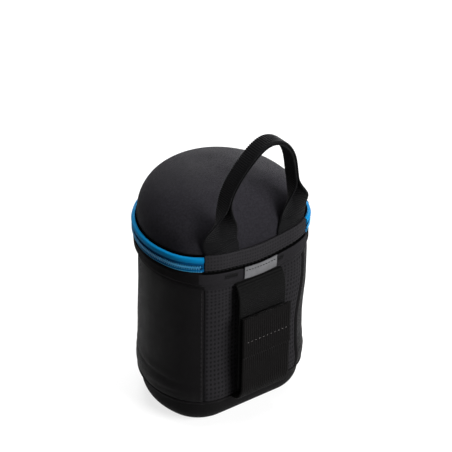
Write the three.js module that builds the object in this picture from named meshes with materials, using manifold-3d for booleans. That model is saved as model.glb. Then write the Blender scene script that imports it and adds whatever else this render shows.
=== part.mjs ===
// Lens pouch: a D-shaped padded case with a moulded base cup, a domed lid hinged along the flat
// back and closed by a toothed coil zip, a carrying handle, and a belt strap held by a belt flap.
// Millimetres, +Z up. The origin is the centre of the round front's circle on the flat underside,
// -Y is the round zipped front and +Y the flat back that lies against the wearer.

import * as THREE from 'three';
import { mergeVertices } from 'three/addons/utils/BufferGeometryUtils.js';
import Module from 'manifold-3d';

const wasm = await Module();
wasm.setup();

// Plan of the sleeve's outer face
const FRONT_RADIUS = 58;
const BACK_FACE = 39.5;
const CORNER_RADIUS = 31;

// Steps along the plan
const FRONT_STEPS = 24;
const CORNER_STEPS = 6;
const FLAT_STEPS = 6;

// Clearances
const SEAM_GAP = 0.3;
const PARTING_GAP = 0.5;
const RUNNING_GAP = 0.3;

// Levels of the body
const BASE_RADIUS = 14;
const BASE_INSET = 2.5;
const HEM_LEVEL = 19.7;
const HEM_HEIGHT = 2;
const HEM_PROUD = 0.6;
const SLEEVE_TOP = 117;
const RIM_HEIGHT = 11.2;
const LOWER_ZIP_HEIGHT = 3.2;
const UPPER_ZIP_HEIGHT = 9.3;
const LID_RISE = 31.7;
const RIM_TOP = SLEEVE_TOP + RIM_HEIGHT;
const PARTING_LEVEL = RIM_TOP + LOWER_ZIP_HEIGHT;
const BAND_TOP = PARTING_LEVEL + UPPER_ZIP_HEIGHT;
const LID_TOP = BAND_TOP + LID_RISE;

// The rim, the hinge band and the lid's foot sag in the middle of the back
const BACK_SAG = 4;
const SAG_RUN_BELOW = 19;
const SAG_RUN_ABOVE = 24.3;
const SAG_START = SLEEVE_TOP - SAG_RUN_BELOW;
const SAG_END = BAND_TOP + SAG_RUN_ABOVE;

// Base cup: a moulded foam cup
const CUP_FACE = -1.8;
const CUP_WALL = 5;
const CUP_FLOOR = 5;
const CUP_BEND_STEPS = 4;
const CUP_SHOULDER = 20;

// Lining and loose pad
const LINING = 0.8;
const BINDING = 1.2;
const PAD_THICKNESS = 4;
const PAD_FOOT_INSET = 1.6;

// Sleeve: front wrap and back panel share one section
const SLEEVE_WALL = 1.3;
const SLEEVE_FACE = -0.2;
const SEAM_ANGLE = 61;
const ROLL_HEIGHT = 8.3;
const ROLL_DEPTH = 1.4;
const ROLL_SPAN = 22;

// Rim band above the sleeve, flaring out to the zip
const RIM_FLARE = 2.3;
const RIM_FLARE_HEIGHT = 4;
const FLARE_AT_KNEE = 0.8;

// Zip
const ZIP_END_ANGLE = 60.3;
const TAPE_FACE = 2;
const TAPE_BACK = 0.4;
const WELT_FACE = 3.2;
const WELT_HEIGHT = 5;
const COIL_THICKNESS = 1.1;
const COIL_HEIGHT = 2.7;
const TOOTH_PITCH = 3.6;
const TOOTH_REACH = 0.7;
const ZIP_END_GAP = 0.6;

// Zip slider and pull
const SLIDER_PARK_ANGLE = 100;
const SLIDER_LENGTH = 11;
const SLIDER_PLATE = 1.3;
const SLIDER_RISE = 3.8;
const SLIDER_LIP = 1.2;
const CROWN_WIDTH = 2;
const CROWN_HEIGHT = 6;
const CROWN_BAR = 1.2;
const CROWN_ROOM = 2.2;
const PULL_THICKNESS = 1.2;
const PULL_WIDTH = 7;
const PULL_LENGTH = 26;
const PULL_WINDOW = 3;
const PULL_WINDOW_LENGTH = 3.9;
const PULL_TIP_RADIUS = 2.4;

// Hinge band across the back
const HINGE_FACE = 2.4;
const HINGE_BULGE = 0.4;

// Lid
const LID_FACE = -0.3;
const LID_WALL = 4;
const DOME_DROP = 2.1;
const DOME_FOOT = BAND_TOP - DOME_DROP;
const DOME_CENTRE = -14;
const DOME_STEPS = 6;

// Handle: one webbing, flat where it is sewn in. Above, both its edges turn back until they meet.
// Rises count from the top of the band, and planes are the webbing's middle along Y.
const WEBBING_WIDTH = 25;
const WEBBING_THICKNESS = 1.4;
const FOLD_LENGTH = 2.7;
const HANDLE_SPACING = 28.2;
const GRIP_HALF_SPAN = 30.4;
const GRIP_RISE = 9.3;
const CROWN_RISE = 76.9;
const FOLD_START_RISE = 5.3;
const FOLD_END_RISE = 39.3;
const NECK_PLANE = 33.9;
const NECK_START_RISE = 4.3;
const NECK_RISE = 29.3;
const CROWN_PLANE = 41.8;
const LEAN_START_RISE = 37.3;
const SEWN_RISE = 5;
const TAB_STEPS = 3;
const GRIP_STEPS = 32;

// Belt strap, hanging from the rim band
const STRAP_WIDTH = 39;
const STRAP_THICKNESS = 1.8;
const STRAP_TIP = 30;
const STRAP_FACE = 45;
const STRAP_SHOULDER = 12;

// Hook and loop patches
const PATCH_WIDTH = 34;
const PATCH_THICKNESS = 1.2;
const PATCH_FOOT = 46;
const PATCH_TOP = 84;

// Belt flap, sewn on at the foot of the back panel
const FLAP_WIDTH = 40;
const FLAP_THICKNESS = 1.8;
const FLAP_SEAM_LEVEL = 20.9;
const FLAP_TOP = 89.5;
const FLAP_HEM_FOOT = 58;
const FLAP_HEM = 0.7;
const FLAP_RISE = 14;

// Label tab on the rim band
const LABEL_WIDTH = 26.7;
const LABEL_SHIFT = -0.75;
const LABEL_THICKNESS = 0.8;
const LABEL_HEIGHT = 9;
const LABEL_LIFT = 1.2;

const degrees = THREE.MathUtils.degToRad;
const lerp = THREE.MathUtils.lerp;
const smoothstep = THREE.MathUtils.smoothstep;

// Derived plan: the corner circles touch the front circle inside and the back line
const CORNER_Y = BACK_FACE - CORNER_RADIUS;
const CORNER_X = Math.sqrt((FRONT_RADIUS - CORNER_RADIUS) ** 2 - CORNER_Y ** 2);
const BLEND = Math.atan2(CORNER_Y, CORNER_X);
const FRONT_HALF = FRONT_RADIUS * (Math.PI / 2 + BLEND);
const CORNER_ARC = CORNER_RADIUS * (Math.PI / 2 - BLEND);
const HALF_LAP = FRONT_HALF + CORNER_ARC + CORNER_X;
const LAP = 2 * HALF_LAP;

// Distance from the front middle to the point of the corner whose normal has this angle
function cornerPath(angle) {
  return FRONT_HALF + CORNER_RADIUS * (degrees(angle) - BLEND);
}

const ZIP_END = cornerPath(ZIP_END_ANGLE);
const SEAM = cornerPath(SEAM_ANGLE);

// Share of the sag at a distance along the plan, counted from the middle of the back
function sagShare(fromBack) {
  const reach = HALF_LAP - ZIP_END;
  return fromBack >= reach ? 0 : Math.cos((Math.PI / 2) * (fromBack / reach)) ** 2;
}

// A place on the plan at a distance from the front middle, positive towards +X
function stationAt(distance) {
  const wrapped = distance - LAP * Math.round(distance / LAP);
  const side = wrapped < 0 ? -1 : 1;
  const along = Math.abs(wrapped);
  let angle = Math.PI / 2;
  let x = HALF_LAP - along;
  let y = BACK_FACE;
  if (along <= FRONT_HALF) {
    angle = along / FRONT_RADIUS - Math.PI / 2;
    x = FRONT_RADIUS * Math.cos(angle);
    y = FRONT_RADIUS * Math.sin(angle);
  } else if (along <= FRONT_HALF + CORNER_ARC) {
    angle = BLEND + (along - FRONT_HALF) / CORNER_RADIUS;
    x = CORNER_X + CORNER_RADIUS * Math.cos(angle);
    y = CORNER_Y + CORNER_RADIUS * Math.sin(angle);
  }
  return {
    x: side * x,
    y,
    nx: side * Math.cos(angle),
    ny: Math.sin(angle),
    sag: BACK_SAG * sagShare(HALF_LAP - along),
  };
}

// Distances of the common steps over one lap
function lapSteps() {
  const steps = [];
  const runs = [
    [-HALF_LAP, -FRONT_HALF - CORNER_ARC, FLAT_STEPS / 2],
    [-FRONT_HALF - CORNER_ARC, -FRONT_HALF, CORNER_STEPS],
    [-FRONT_HALF, FRONT_HALF, FRONT_STEPS],
    [FRONT_HALF, FRONT_HALF + CORNER_ARC, CORNER_STEPS],
    [FRONT_HALF + CORNER_ARC, HALF_LAP, FLAT_STEPS / 2],
  ];
  for (const [from, to, count] of runs) {
    for (let i = 0; i < count; i += 1) {
      steps.push(lerp(from, to, i / count));
    }
  }
  return steps;
}

const LAP_STEPS = lapSteps();
const LAP_STATIONS = LAP_STEPS.map(stationAt);

// Stations from one distance to another, with the common steps between them
function stationsBetween(from, to) {
  const least = SEAM_GAP;
  const inner = [];
  for (const lap of [-LAP, 0, LAP]) {
    for (const step of LAP_STEPS) {
      if (step + lap > from + least && step + lap < to - least) {
        inner.push(step + lap);
      }
    }
  }
  inner.sort((a, b) => a - b);
  return [from, ...inner, to].map(stationAt);
}

// Drop of the sagging zone at a level: nothing low on the body, all of it at the rim and the band
function sagAt(station, level) {
  const below = smoothstep(level, SAG_START, SLEEVE_TOP);
  const above = 1 - smoothstep(level, BAND_TOP, SAG_END);
  return station.sag * below * above;
}

// The point at an offset from the wall and a level
function wallPoint(station, offset, level) {
  return new THREE.Vector3(
    station.x + station.nx * offset,
    station.y + station.ny * offset,
    level - sagAt(station, level),
  );
}

function signedVolume(positions, indices) {
  const a = new THREE.Vector3();
  const b = new THREE.Vector3();
  const c = new THREE.Vector3();
  let volume = 0;
  for (let i = 0; i < indices.length; i += 3) {
    a.fromArray(positions, indices[i] * 3);
    b.fromArray(positions, indices[i + 1] * 3);
    c.fromArray(positions, indices[i + 2] * 3);
    volume += a.dot(b.cross(c)) / 6;
  }
  return volume;
}

// A closed skin through rings of equal count. Its ends are joined to each other, drawn to a
// point, or filled flat after the ring's own two-dimensional outline.
function skin(rings, { joined = false, outline = null, startPoint = null, endPoint = null } = {}) {
  const count = rings[0].length;
  const positions = rings.flat().flatMap((p) => [p.x, p.y, p.z]);
  const indices = [];
  const last = joined ? rings.length : rings.length - 1;
  for (let i = 0; i < last; i += 1) {
    const here = i * count;
    const next = ((i + 1) % rings.length) * count;
    for (let j = 0; j < count; j += 1) {
      const k = (j + 1) % count;
      indices.push(here + j, here + k, next + j);
      indices.push(here + k, next + k, next + j);
    }
  }
  if (!joined) {
    const lastStart = (rings.length - 1) * count;
    closeEnd(positions, indices, rings[0], 0, startPoint, outline, false);
    closeEnd(positions, indices, rings.at(-1), lastStart, endPoint, outline, true);
  }
  if (signedVolume(positions, indices) < 0) {
    for (let i = 0; i < indices.length; i += 3) {
      [indices[i], indices[i + 1]] = [indices[i + 1], indices[i]];
    }
  }
  const geometry = new THREE.BufferGeometry();
  geometry.setAttribute('position', new THREE.Float32BufferAttribute(positions, 3));
  geometry.setIndex(indices);
  geometry.computeVertexNormals();
  return geometry;
}

// Fills one end of a skin. A face keeps the ring's order at the last ring and turns it at the first.
function closeEnd(positions, indices, ring, start, point, outline, atEnd) {
  let faces = [];
  if (point) {
    const apex = positions.length / 3;
    positions.push(point.x, point.y, point.z);
    faces = ring.map((_, j) => [start + j, start + ((j + 1) % ring.length), apex]);
  } else {
    const flat = outline ?? ring.map((p) => new THREE.Vector2(p.x, p.y));
    const filled = THREE.ShapeUtils.triangulateShape(flat, []);
    faces = filled.map((face) => face.toSorted((a, b) => a - b).map((j) => start + j));
  }
  for (const face of faces) {
    indices.push(...(atEnd ? face : face.toReversed()));
  }
}

// A section of offsets and levels swept along stations of the wall
function sweep(section, stations, joined = false) {
  const ringAt = (station) => section.map(([offset, level]) => wallPoint(station, offset, level));
  const rings = stations.map(ringAt);
  const outline = section.map(([offset, level]) => new THREE.Vector2(offset, level));
  return skin(rings, { joined, outline });
}

// A bowl from a list of offsets and levels, each a whole lap, with flat ends
function bowl(profile) {
  const ringAt = ([offset, level]) => LAP_STATIONS.map((station) => wallPoint(station, offset, level));
  return skin(profile.map(ringAt));
}

// Offsets and levels of a bend between the floor and the wall
function floorBend(centreOffset, centreLevel, radius) {
  const points = [];
  for (let i = 0; i <= CUP_BEND_STEPS; i += 1) {
    const angle = (Math.PI / 2) * (i / CUP_BEND_STEPS);
    points.push([centreOffset + radius * Math.sin(angle), centreLevel - radius * Math.cos(angle)]);
  }
  return points;
}

const fabric = (color, roughness = 0.9) => new THREE.MeshStandardMaterial({ color, roughness, metalness: 0 });

const CLOTH = 0x2b292d;
const MOULDED = 0x1a191c;
const LINING_GREY = 0x5a5c60;
const ZIP_BLUE = 0x1a84c0;

const pouch = new THREE.Group();

function addPiece(parent, name, geometry, material) {
  const mesh = new THREE.Mesh(geometry, material);
  mesh.name = name;
  parent.add(mesh);
  return mesh;
}

// Levels that follow from the ones above
const BINDING_TOP = PARTING_LEVEL - PARTING_GAP / 2;
const CUP_TOP = BINDING_TOP - BINDING - SEAM_GAP;
const CUP_INSIDE = CUP_FACE - CUP_WALL;
const LINER_FACE = CUP_INSIDE - SEAM_GAP;
const LINER_INSIDE = LINER_FACE - LINING;
const BEND_CENTRE_INSIDE = LINER_INSIDE - (BASE_RADIUS - CUP_FLOOR - SEAM_GAP - LINING);

// Base cup with its rounded foot, its padded wall and its floor
function makeBaseCup() {
  const outside = floorBend(-BASE_INSET - BASE_RADIUS, BASE_RADIUS, BASE_RADIUS);
  const insideRadius = CUP_INSIDE - BEND_CENTRE_INSIDE;
  const inside = floorBend(BEND_CENTRE_INSIDE, CUP_FLOOR + insideRadius, insideRadius).reverse();
  return bowl([...outside, [CUP_FACE, CUP_SHOULDER], [CUP_FACE, CUP_TOP], [CUP_INSIDE, CUP_TOP], ...inside]);
}

function makeBodyLiner() {
  const centre = CUP_FLOOR + (CUP_INSIDE - BEND_CENTRE_INSIDE);
  const outside = floorBend(BEND_CENTRE_INSIDE, centre, LINER_FACE - BEND_CENTRE_INSIDE);
  const inside = floorBend(BEND_CENTRE_INSIDE, centre, LINER_INSIDE - BEND_CENTRE_INSIDE).reverse();
  return bowl([...outside, [LINER_FACE, CUP_TOP], [LINER_INSIDE, CUP_TOP], ...inside]);
}

// Loose foam pad on the lined floor, its edge following the bend
function makeBottomPad() {
  const radius = LINER_INSIDE - BEND_CENTRE_INSIDE;
  const centre = CUP_FLOOR + (CUP_INSIDE - BEND_CENTRE_INSIDE);
  const foot = centre - radius + SEAM_GAP;
  const top = foot + PAD_THICKNESS;
  const atTop = BEND_CENTRE_INSIDE + Math.sqrt(radius ** 2 - (centre - top) ** 2) - 2 * SEAM_GAP;
  return bowl([[BEND_CENTRE_INSIDE + PAD_FOOT_INSET - SEAM_GAP, foot], [atTop, top]]);
}

// The sleeve's section: a soft roll low down, then an upright wall
function sleeveSection() {
  const foot = HEM_LEVEL + HEM_HEIGHT + SEAM_GAP;
  const top = SLEEVE_TOP - SEAM_GAP;
  const rollShares = [[0, 0.3], [0.5, 0.8], [1, 1], [1.8, 0.58], [2.66, 0.15]];
  const face = rollShares.map(([up, out]) => [SLEEVE_FACE + out * ROLL_DEPTH, foot + up * ROLL_HEIGHT]);
  face.push([SLEEVE_FACE, foot + ROLL_HEIGHT + ROLL_SPAN], [SLEEVE_FACE, top]);
  const back = face.map(([offset, level]) => [offset - SLEEVE_WALL, level]).reverse();
  return [...face, ...back];
}

function makeFrontWrap() {
  return sweep(sleeveSection(), stationsBetween(-SEAM + SEAM_GAP / 2, SEAM - SEAM_GAP / 2));
}

function makeBackPanel() {
  return sweep(sleeveSection(), stationsBetween(SEAM + SEAM_GAP / 2, LAP - SEAM - SEAM_GAP / 2));
}

// Rounded piping under the sleeve's lower edge
function makeHemBinding() {
  const back = SLEEVE_FACE - SLEEVE_WALL;
  const face = SLEEVE_FACE + HEM_PROUD;
  const round = HEM_PROUD;
  const top = HEM_LEVEL + HEM_HEIGHT;
  return sweep(
    [
      [back, HEM_LEVEL],
      [face - round, HEM_LEVEL],
      [face, HEM_LEVEL + round],
      [face, top - round],
      [face - round, top],
      [back, top],
    ],
    LAP_STATIONS,
    true,
  );
}

// Offset of the rim band's outer face at a level
function rimFace(level) {
  const rise = Math.min(1, (level - SLEEVE_TOP) / RIM_FLARE_HEIGHT);
  const slope = Math.max(0, (level - SLEEVE_TOP - RIM_FLARE_HEIGHT) / (RIM_HEIGHT - RIM_FLARE_HEIGHT));
  const foot = SLEEVE_FACE + SEAM_GAP;
  return lerp(lerp(foot, RIM_FLARE, FLARE_AT_KNEE * rise), RIM_FLARE, slope);
}

function makeRimBand() {
  const back = SLEEVE_FACE - SLEEVE_WALL;
  const knee = SLEEVE_TOP + RIM_FLARE_HEIGHT;
  return sweep(
    [
      [back, SLEEVE_TOP],
      [rimFace(SLEEVE_TOP), SLEEVE_TOP],
      [rimFace(knee), knee],
      [RIM_FLARE, RIM_TOP],
      [back, RIM_TOP],
    ],
    LAP_STATIONS,
    true,
  );
}

function makeBinding(inside, face, foot, top) {
  return sweep([[inside, foot], [face, foot], [face, top], [inside, top]], LAP_STATIONS, true);
}

const LOWER_TAPE_FOOT = RIM_TOP + SEAM_GAP;
const LID_FOOT = PARTING_LEVEL + PARTING_GAP / 2;

function makeLowerTape() {
  const section = [
    [TAPE_BACK, LOWER_TAPE_FOOT],
    [TAPE_FACE, LOWER_TAPE_FOOT],
    [TAPE_FACE, BINDING_TOP],
    [TAPE_BACK, BINDING_TOP],
  ];
  return sweep(section, stationsBetween(-ZIP_END + SEAM_GAP, ZIP_END - SEAM_GAP));
}

// Upper tape: a rounded welt above, set back behind the coil below
function makeUpperTape() {
  const welt = BAND_TOP - WELT_HEIGHT;
  const step = WELT_FACE - TAPE_FACE;
  const section = [
    [TAPE_BACK, LID_FOOT],
    [TAPE_FACE, LID_FOOT],
    [TAPE_FACE, welt],
    [WELT_FACE, welt + step / 2],
    [WELT_FACE, BAND_TOP - step],
    [TAPE_FACE, BAND_TOP],
    [TAPE_BACK, BAND_TOP - step / 2],
  ];
  return sweep(section, stationsBetween(-ZIP_END + SEAM_GAP, ZIP_END - SEAM_GAP));
}

// A toothed coil half. The mating edge runs tip, tip, root, root along each pitch, and both
// halves follow the same wave, so that the teeth of one stand in the gaps of the other.
function makeCoil(upper) {
  const side = upper ? 1 : -1;
  const inside = TAPE_FACE + RUNNING_GAP;
  const face = inside + COIL_THICKNESS;
  const outerEdge = PARTING_LEVEL + side * (PARTING_GAP / 2 + COIL_HEIGHT);
  const length = 2 * (ZIP_END - ZIP_END_GAP);
  const teeth = Math.floor(length / TOOTH_PITCH);
  const waveShares = [[0, 1], [0.25, 1], [0.5, -1], [0.75, -1]];
  const rings = [];
  for (let tooth = 0; tooth < teeth; tooth += 1) {
    for (const [along, reach] of waveShares) {
      const station = stationAt((tooth + along - teeth / 2) * TOOTH_PITCH);
      const edge = PARTING_LEVEL + side * (PARTING_GAP / 2) + reach * TOOTH_REACH;
      rings.push([
        wallPoint(station, inside, edge),
        wallPoint(station, face, edge),
        wallPoint(station, face, outerEdge),
        wallPoint(station, inside, outerEdge),
      ]);
    }
  }
  const outline = [
    new THREE.Vector2(inside, 0),
    new THREE.Vector2(face, 0),
    new THREE.Vector2(face, COIL_HEIGHT),
    new THREE.Vector2(inside, COIL_HEIGHT),
  ];
  return skin(rings, { outline });
}

function makeHingeBandLower() {
  const section = [
    [TAPE_BACK, LOWER_TAPE_FOOT],
    [HINGE_FACE, LOWER_TAPE_FOOT],
    [HINGE_FACE, BINDING_TOP],
    [TAPE_BACK, BINDING_TOP],
  ];
  return sweep(section, stationsBetween(ZIP_END + SEAM_GAP, LAP - ZIP_END - SEAM_GAP));
}

function makeHingeBandUpper() {
  const middle = (LID_FOOT + BAND_TOP) / 2;
  const section = [
    [TAPE_BACK, LID_FOOT],
    [HINGE_FACE, LID_FOOT],
    [HINGE_FACE + HINGE_BULGE, middle],
    [HINGE_FACE, BAND_TOP - HINGE_BULGE],
    [(HINGE_FACE + TAPE_BACK) / 2, BAND_TOP],
    [TAPE_BACK, BAND_TOP - HINGE_BULGE],
  ];
  return sweep(section, stationsBetween(ZIP_END + SEAM_GAP, LAP - ZIP_END - SEAM_GAP));
}

// The dome is a superellipse drawn to a centre behind the middle of the lid. Its exponents,
// for the height, the front and the back, were read off the outline of the lid.
const HEIGHT_POWER = 3;
const FRONT_POWER = 2.75;
const BACK_POWER = 1.74;
const CROWDING = 1.5;

function domeRing(offset, height, turn) {
  return LAP_STATIONS.map((station) => {
    const base = new THREE.Vector2(station.x + station.nx * offset, station.y + station.ny * offset);
    const facing = Math.atan2(base.y - DOME_CENTRE, base.x);
    const power = lerp(FRONT_POWER, BACK_POWER, (1 + Math.sin(facing)) / 2);
    const draw = Math.cos(turn) ** (2 / power);
    const level = DOME_FOOT + height * Math.sin(turn) ** (2 / HEIGHT_POWER);
    const y = DOME_CENTRE + (base.y - DOME_CENTRE) * draw;
    return new THREE.Vector3(base.x * draw, y, level - sagAt(station, level));
  });
}

// A dome of even wall: outside from the top down, then inside from the foot up
function makeDome(faceOffset, topLevel, wall, footLevel) {
  const height = topLevel - DOME_FOOT;
  const inset = faceOffset - wall;
  const turns = [];
  for (let i = 1; i <= DOME_STEPS; i += 1) {
    turns.push((Math.PI / 2) * (1 - (1 - i / (DOME_STEPS + 1)) ** CROWDING));
  }
  const foot = (offset) => LAP_STATIONS.map((station) => wallPoint(station, offset, footLevel));
  const rings = [
    ...turns.toReversed().map((turn) => domeRing(faceOffset, height, turn)),
    domeRing(faceOffset, height, 0),
    foot(faceOffset),
    foot(inset),
    domeRing(inset, height - wall, 0),
    ...turns.map((turn) => domeRing(inset, height - wall, turn)),
  ];
  return skin(rings, {
    startPoint: new THREE.Vector3(0, DOME_CENTRE, topLevel),
    endPoint: new THREE.Vector3(0, DOME_CENTRE, topLevel - wall),
  });
}

// A thick line of Y and Z points, spread across X
function ribbon(line, thickness, width) {
  const points = line.map(([y, z]) => new THREE.Vector2(y, z));
  const sides = { left: [], right: [] };
  points.forEach((point, i) => {
    const before = points[Math.max(0, i - 1)];
    const after = points[Math.min(points.length - 1, i + 1)];
    const normal = after.clone().sub(before).normalize().rotateAround(new THREE.Vector2(), Math.PI / 2);
    const half = (Array.isArray(thickness) ? thickness[i] : thickness) / 2;
    sides.left.push(point.clone().addScaledVector(normal, half));
    sides.right.push(point.clone().addScaledVector(normal, -half));
  });
  const outline = [...sides.left, ...sides.right.reverse()];
  const ringAt = (x) => outline.map((p) => new THREE.Vector3(x, p.x, p.y));
  const rings = [-width / 2, width / 2].map(ringAt);
  return skin(rings, { outline });
}

// Points of a line that leaves its root level, swings round and runs on upright
function standOff(rootY, rootZ, faceY, turnZ, tipZ, lead) {
  const steps = 6;
  const line = [[rootY, rootZ]];
  for (let i = 0; i <= steps; i += 1) {
    const angle = (Math.PI / 2) * (i / steps);
    line.push([lerp(rootY + lead, faceY, Math.sin(angle)), lerp(rootZ, turnZ, 1 - Math.cos(angle))]);
  }
  line.push([faceY, tipZ]);
  return line;
}

function makeBeltStrap() {
  const root = BACK_FACE + SLEEVE_FACE + SEAM_GAP;
  const top = SLEEVE_TOP - BACK_SAG - 2 * SEAM_GAP - STRAP_THICKNESS / 2;
  const middle = STRAP_FACE + STRAP_THICKNESS / 2;
  const lead = STRAP_THICKNESS / 2;
  const line = standOff(root, top, middle, top - STRAP_SHOULDER, STRAP_TIP, lead);
  return ribbon(line, STRAP_THICKNESS, STRAP_WIDTH);
}

const LOOP_FACE = STRAP_FACE + STRAP_THICKNESS + SEAM_GAP;
const HOOK_FACE = LOOP_FACE + PATCH_THICKNESS + SEAM_GAP;
const FLAP_FACE = HOOK_FACE + PATCH_THICKNESS + SEAM_GAP;

function makePatch(face) {
  const middle = face + PATCH_THICKNESS / 2;
  return ribbon([[middle, PATCH_FOOT], [middle, PATCH_TOP]], PATCH_THICKNESS, PATCH_WIDTH);
}

// Belt flap: out from its seam, up behind the strap, doubled above the foot of its hem
function makeBeltFlap() {
  const middle = FLAP_FACE + FLAP_THICKNESS / 2;
  const root = BACK_FACE + SLEEVE_FACE + HEM_PROUD + SEAM_GAP;
  const hem = middle + FLAP_HEM / 2;
  const lead = FLAP_THICKNESS / 2;
  const turn = FLAP_SEAM_LEVEL + FLAP_RISE;
  const line = standOff(root, FLAP_SEAM_LEVEL, middle, turn, FLAP_HEM_FOOT, lead);
  const thickness = line.map(() => FLAP_THICKNESS);
  line.push([hem, FLAP_HEM_FOOT + FLAP_HEM], [hem, FLAP_TOP]);
  thickness.push(FLAP_THICKNESS + FLAP_HEM, FLAP_THICKNESS + FLAP_HEM);
  return ribbon(line, thickness, FLAP_WIDTH);
}

// Label tab, lying on the slope of the rim band
function makeLabelTab() {
  const foot = SLEEVE_TOP + LABEL_LIFT;
  const levels = [foot, SLEEVE_TOP + RIM_FLARE_HEIGHT, foot + LABEL_HEIGHT];
  const inner = levels.map((level) => [rimFace(level) + SEAM_GAP, level]);
  const outer = inner.map(([offset, level]) => [offset + LABEL_THICKNESS, level]).reverse();
  const from = HALF_LAP - LABEL_WIDTH / 2 - LABEL_SHIFT;
  return sweep([...inner, ...outer], stationsBetween(from, from + LABEL_WIDTH));
}

// Y of the wall's back and the sag at an X, for what is sewn in over the corners
function backFaceAt(x) {
  const past = Math.max(0, Math.abs(x) - CORNER_X);
  return CORNER_Y + Math.sqrt(CORNER_RADIUS ** 2 - past ** 2);
}

function backSagAt(x) {
  const past = Math.max(0, Math.abs(x) - CORNER_X);
  const around = CORNER_RADIUS * Math.asin(past / CORNER_RADIUS);
  return BACK_SAG * sagShare(Math.min(Math.abs(x), CORNER_X) + around);
}

// Middle of the handle in X and Z, from the +X tab over to the -X tab
function handlePath() {
  const foot = BAND_TOP + SEAM_GAP;
  const springing = BAND_TOP + GRIP_RISE;
  const tab = [];
  for (let i = 0; i < TAB_STEPS; i += 1) {
    const up = i / TAB_STEPS;
    const x = lerp(HANDLE_SPACING, GRIP_HALF_SPAN, smoothstep(up, 0, 1));
    tab.push([x, lerp(foot, springing, up)]);
  }
  const arch = [];
  for (let i = 0; i <= GRIP_STEPS; i += 1) {
    const angle = Math.PI * (i / GRIP_STEPS);
    const rise = (CROWN_RISE - GRIP_RISE) * Math.sin(angle);
    arch.push([GRIP_HALF_SPAN * Math.cos(angle), springing + rise]);
  }
  const down = tab.map(([x, z]) => [-x, z]).reverse();
  return [...tab, ...arch, ...down];
}

// Cross-section of the webbing's middle surface, with both halves turned back by an angle:
// places across, places towards +Y, and the heading at each place
function foldedWebbing(fold) {
  const half = WEBBING_WIDTH / 2;
  const bend = FOLD_LENGTH / 2;
  const mid = (half + bend) / 2;
  const places = [-half, -mid, -bend, -bend / 2, 0, bend / 2, bend, mid, half];
  const radius = fold > 0 ? bend / fold : 0;
  return places.map((place) => {
    const side = Math.sign(place);
    const curled = Math.min(Math.abs(place), bend);
    const turned = (curled / bend) * fold;
    const beyond = Math.abs(place) - curled;
    const round = fold > 0 ? radius * Math.sin(turned) : curled;
    const across = side * (round + beyond * Math.cos(turned));
    const out = radius * (1 - Math.cos(turned)) + beyond * Math.sin(turned);
    return { across, out, heading: side * turned };
  });
}

function makeHandle() {
  const path = handlePath();
  const foot = BAND_TOP + SEAM_GAP;
  const rings = path.map(([x, z], i) => {
    const before = path[Math.max(0, i - 1)];
    const after = path[Math.min(path.length - 1, i + 1)];
    const along = new THREE.Vector2(after[0] - before[0], after[1] - before[1]);
    const outward = new THREE.Vector2(along.y, -along.x).normalize();
    const rise = z - BAND_TOP;
    const loose = smoothstep(z, foot, foot + SEWN_RISE);
    outward.lerp(new THREE.Vector2(Math.sign(x), 0), 1 - loose).normalize();
    const section = foldedWebbing((Math.PI / 2) * smoothstep(rise, FOLD_START_RISE, FOLD_END_RISE));
    const free = smoothstep(rise, NECK_START_RISE, NECK_RISE);
    const lean = (CROWN_PLANE - NECK_PLANE) * smoothstep(rise, LEAN_START_RISE, CROWN_RISE);
    const point = (place, side) => {
      const reach = (side * WEBBING_THICKNESS) / 2;
      const across = place.across - reach * Math.sin(place.heading);
      const px = x + outward.x * across;
      const pz = z + outward.y * across;
      const rest = lerp(backFaceAt(px) + WEBBING_THICKNESS / 2, NECK_PLANE, free) + lean;
      const py = rest + place.out + reach * Math.cos(place.heading);
      return new THREE.Vector3(px, py, pz - backSagAt(px) * (1 - free));
    };
    const near = section.map((place) => point(place, 1)).reverse();
    return [...section.map((place) => point(place, -1)), ...near];
  });
  return skin(rings);
}

// Joins solids into one closed body
function unite(geometries) {
  const solids = geometries.map((geometry) => {
    const bare = geometry.clone();
    bare.deleteAttribute('normal');
    bare.deleteAttribute('uv');
    const merged = mergeVertices(bare);
    return new wasm.Manifold(
      new wasm.Mesh({
        numProp: 3,
        vertProperties: new Float32Array(merged.attributes.position.array),
        triVerts: new Uint32Array(merged.index.array),
      }),
    );
  });
  const joined = solids.reduce((all, solid) => all.add(solid)).getMesh();
  const geometry = new THREE.BufferGeometry();
  geometry.setAttribute('position', new THREE.BufferAttribute(joined.vertProperties, 3));
  geometry.setIndex(new THREE.BufferAttribute(joined.triVerts, 1));
  geometry.computeVertexNormals();
  return geometry;
}

const SLIDER_PLACE = -FRONT_RADIUS * degrees(SLIDER_PARK_ANGLE);
const SLIDER_INSIDE = TAPE_FACE + RUNNING_GAP + COIL_THICKNESS + RUNNING_GAP;
const SLIDER_FACE = SLIDER_INSIDE + SLIDER_PLATE;
const SLIDER_FOOT = RIM_TOP + SEAM_GAP - RUNNING_GAP - SLIDER_LIP;
const PULL_AXIS_OFFSET = SLIDER_FACE + CROWN_ROOM / 2;

// Turns a flat drawing of tangent and level into the place on the wall at a distance
function placeOnWall(geometry, distance, offset, level) {
  const station = stationAt(distance);
  const outward = new THREE.Vector3(station.nx, station.ny, 0);
  const up = new THREE.Vector3(0, 0, 1);
  const tangent = new THREE.Vector3().crossVectors(up, outward);
  const frame = new THREE.Matrix4().makeBasis(tangent, up, outward);
  frame.setPosition(station.x + station.nx * offset, station.y + station.ny * offset, level);
  return geometry.applyMatrix4(frame);
}

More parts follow.
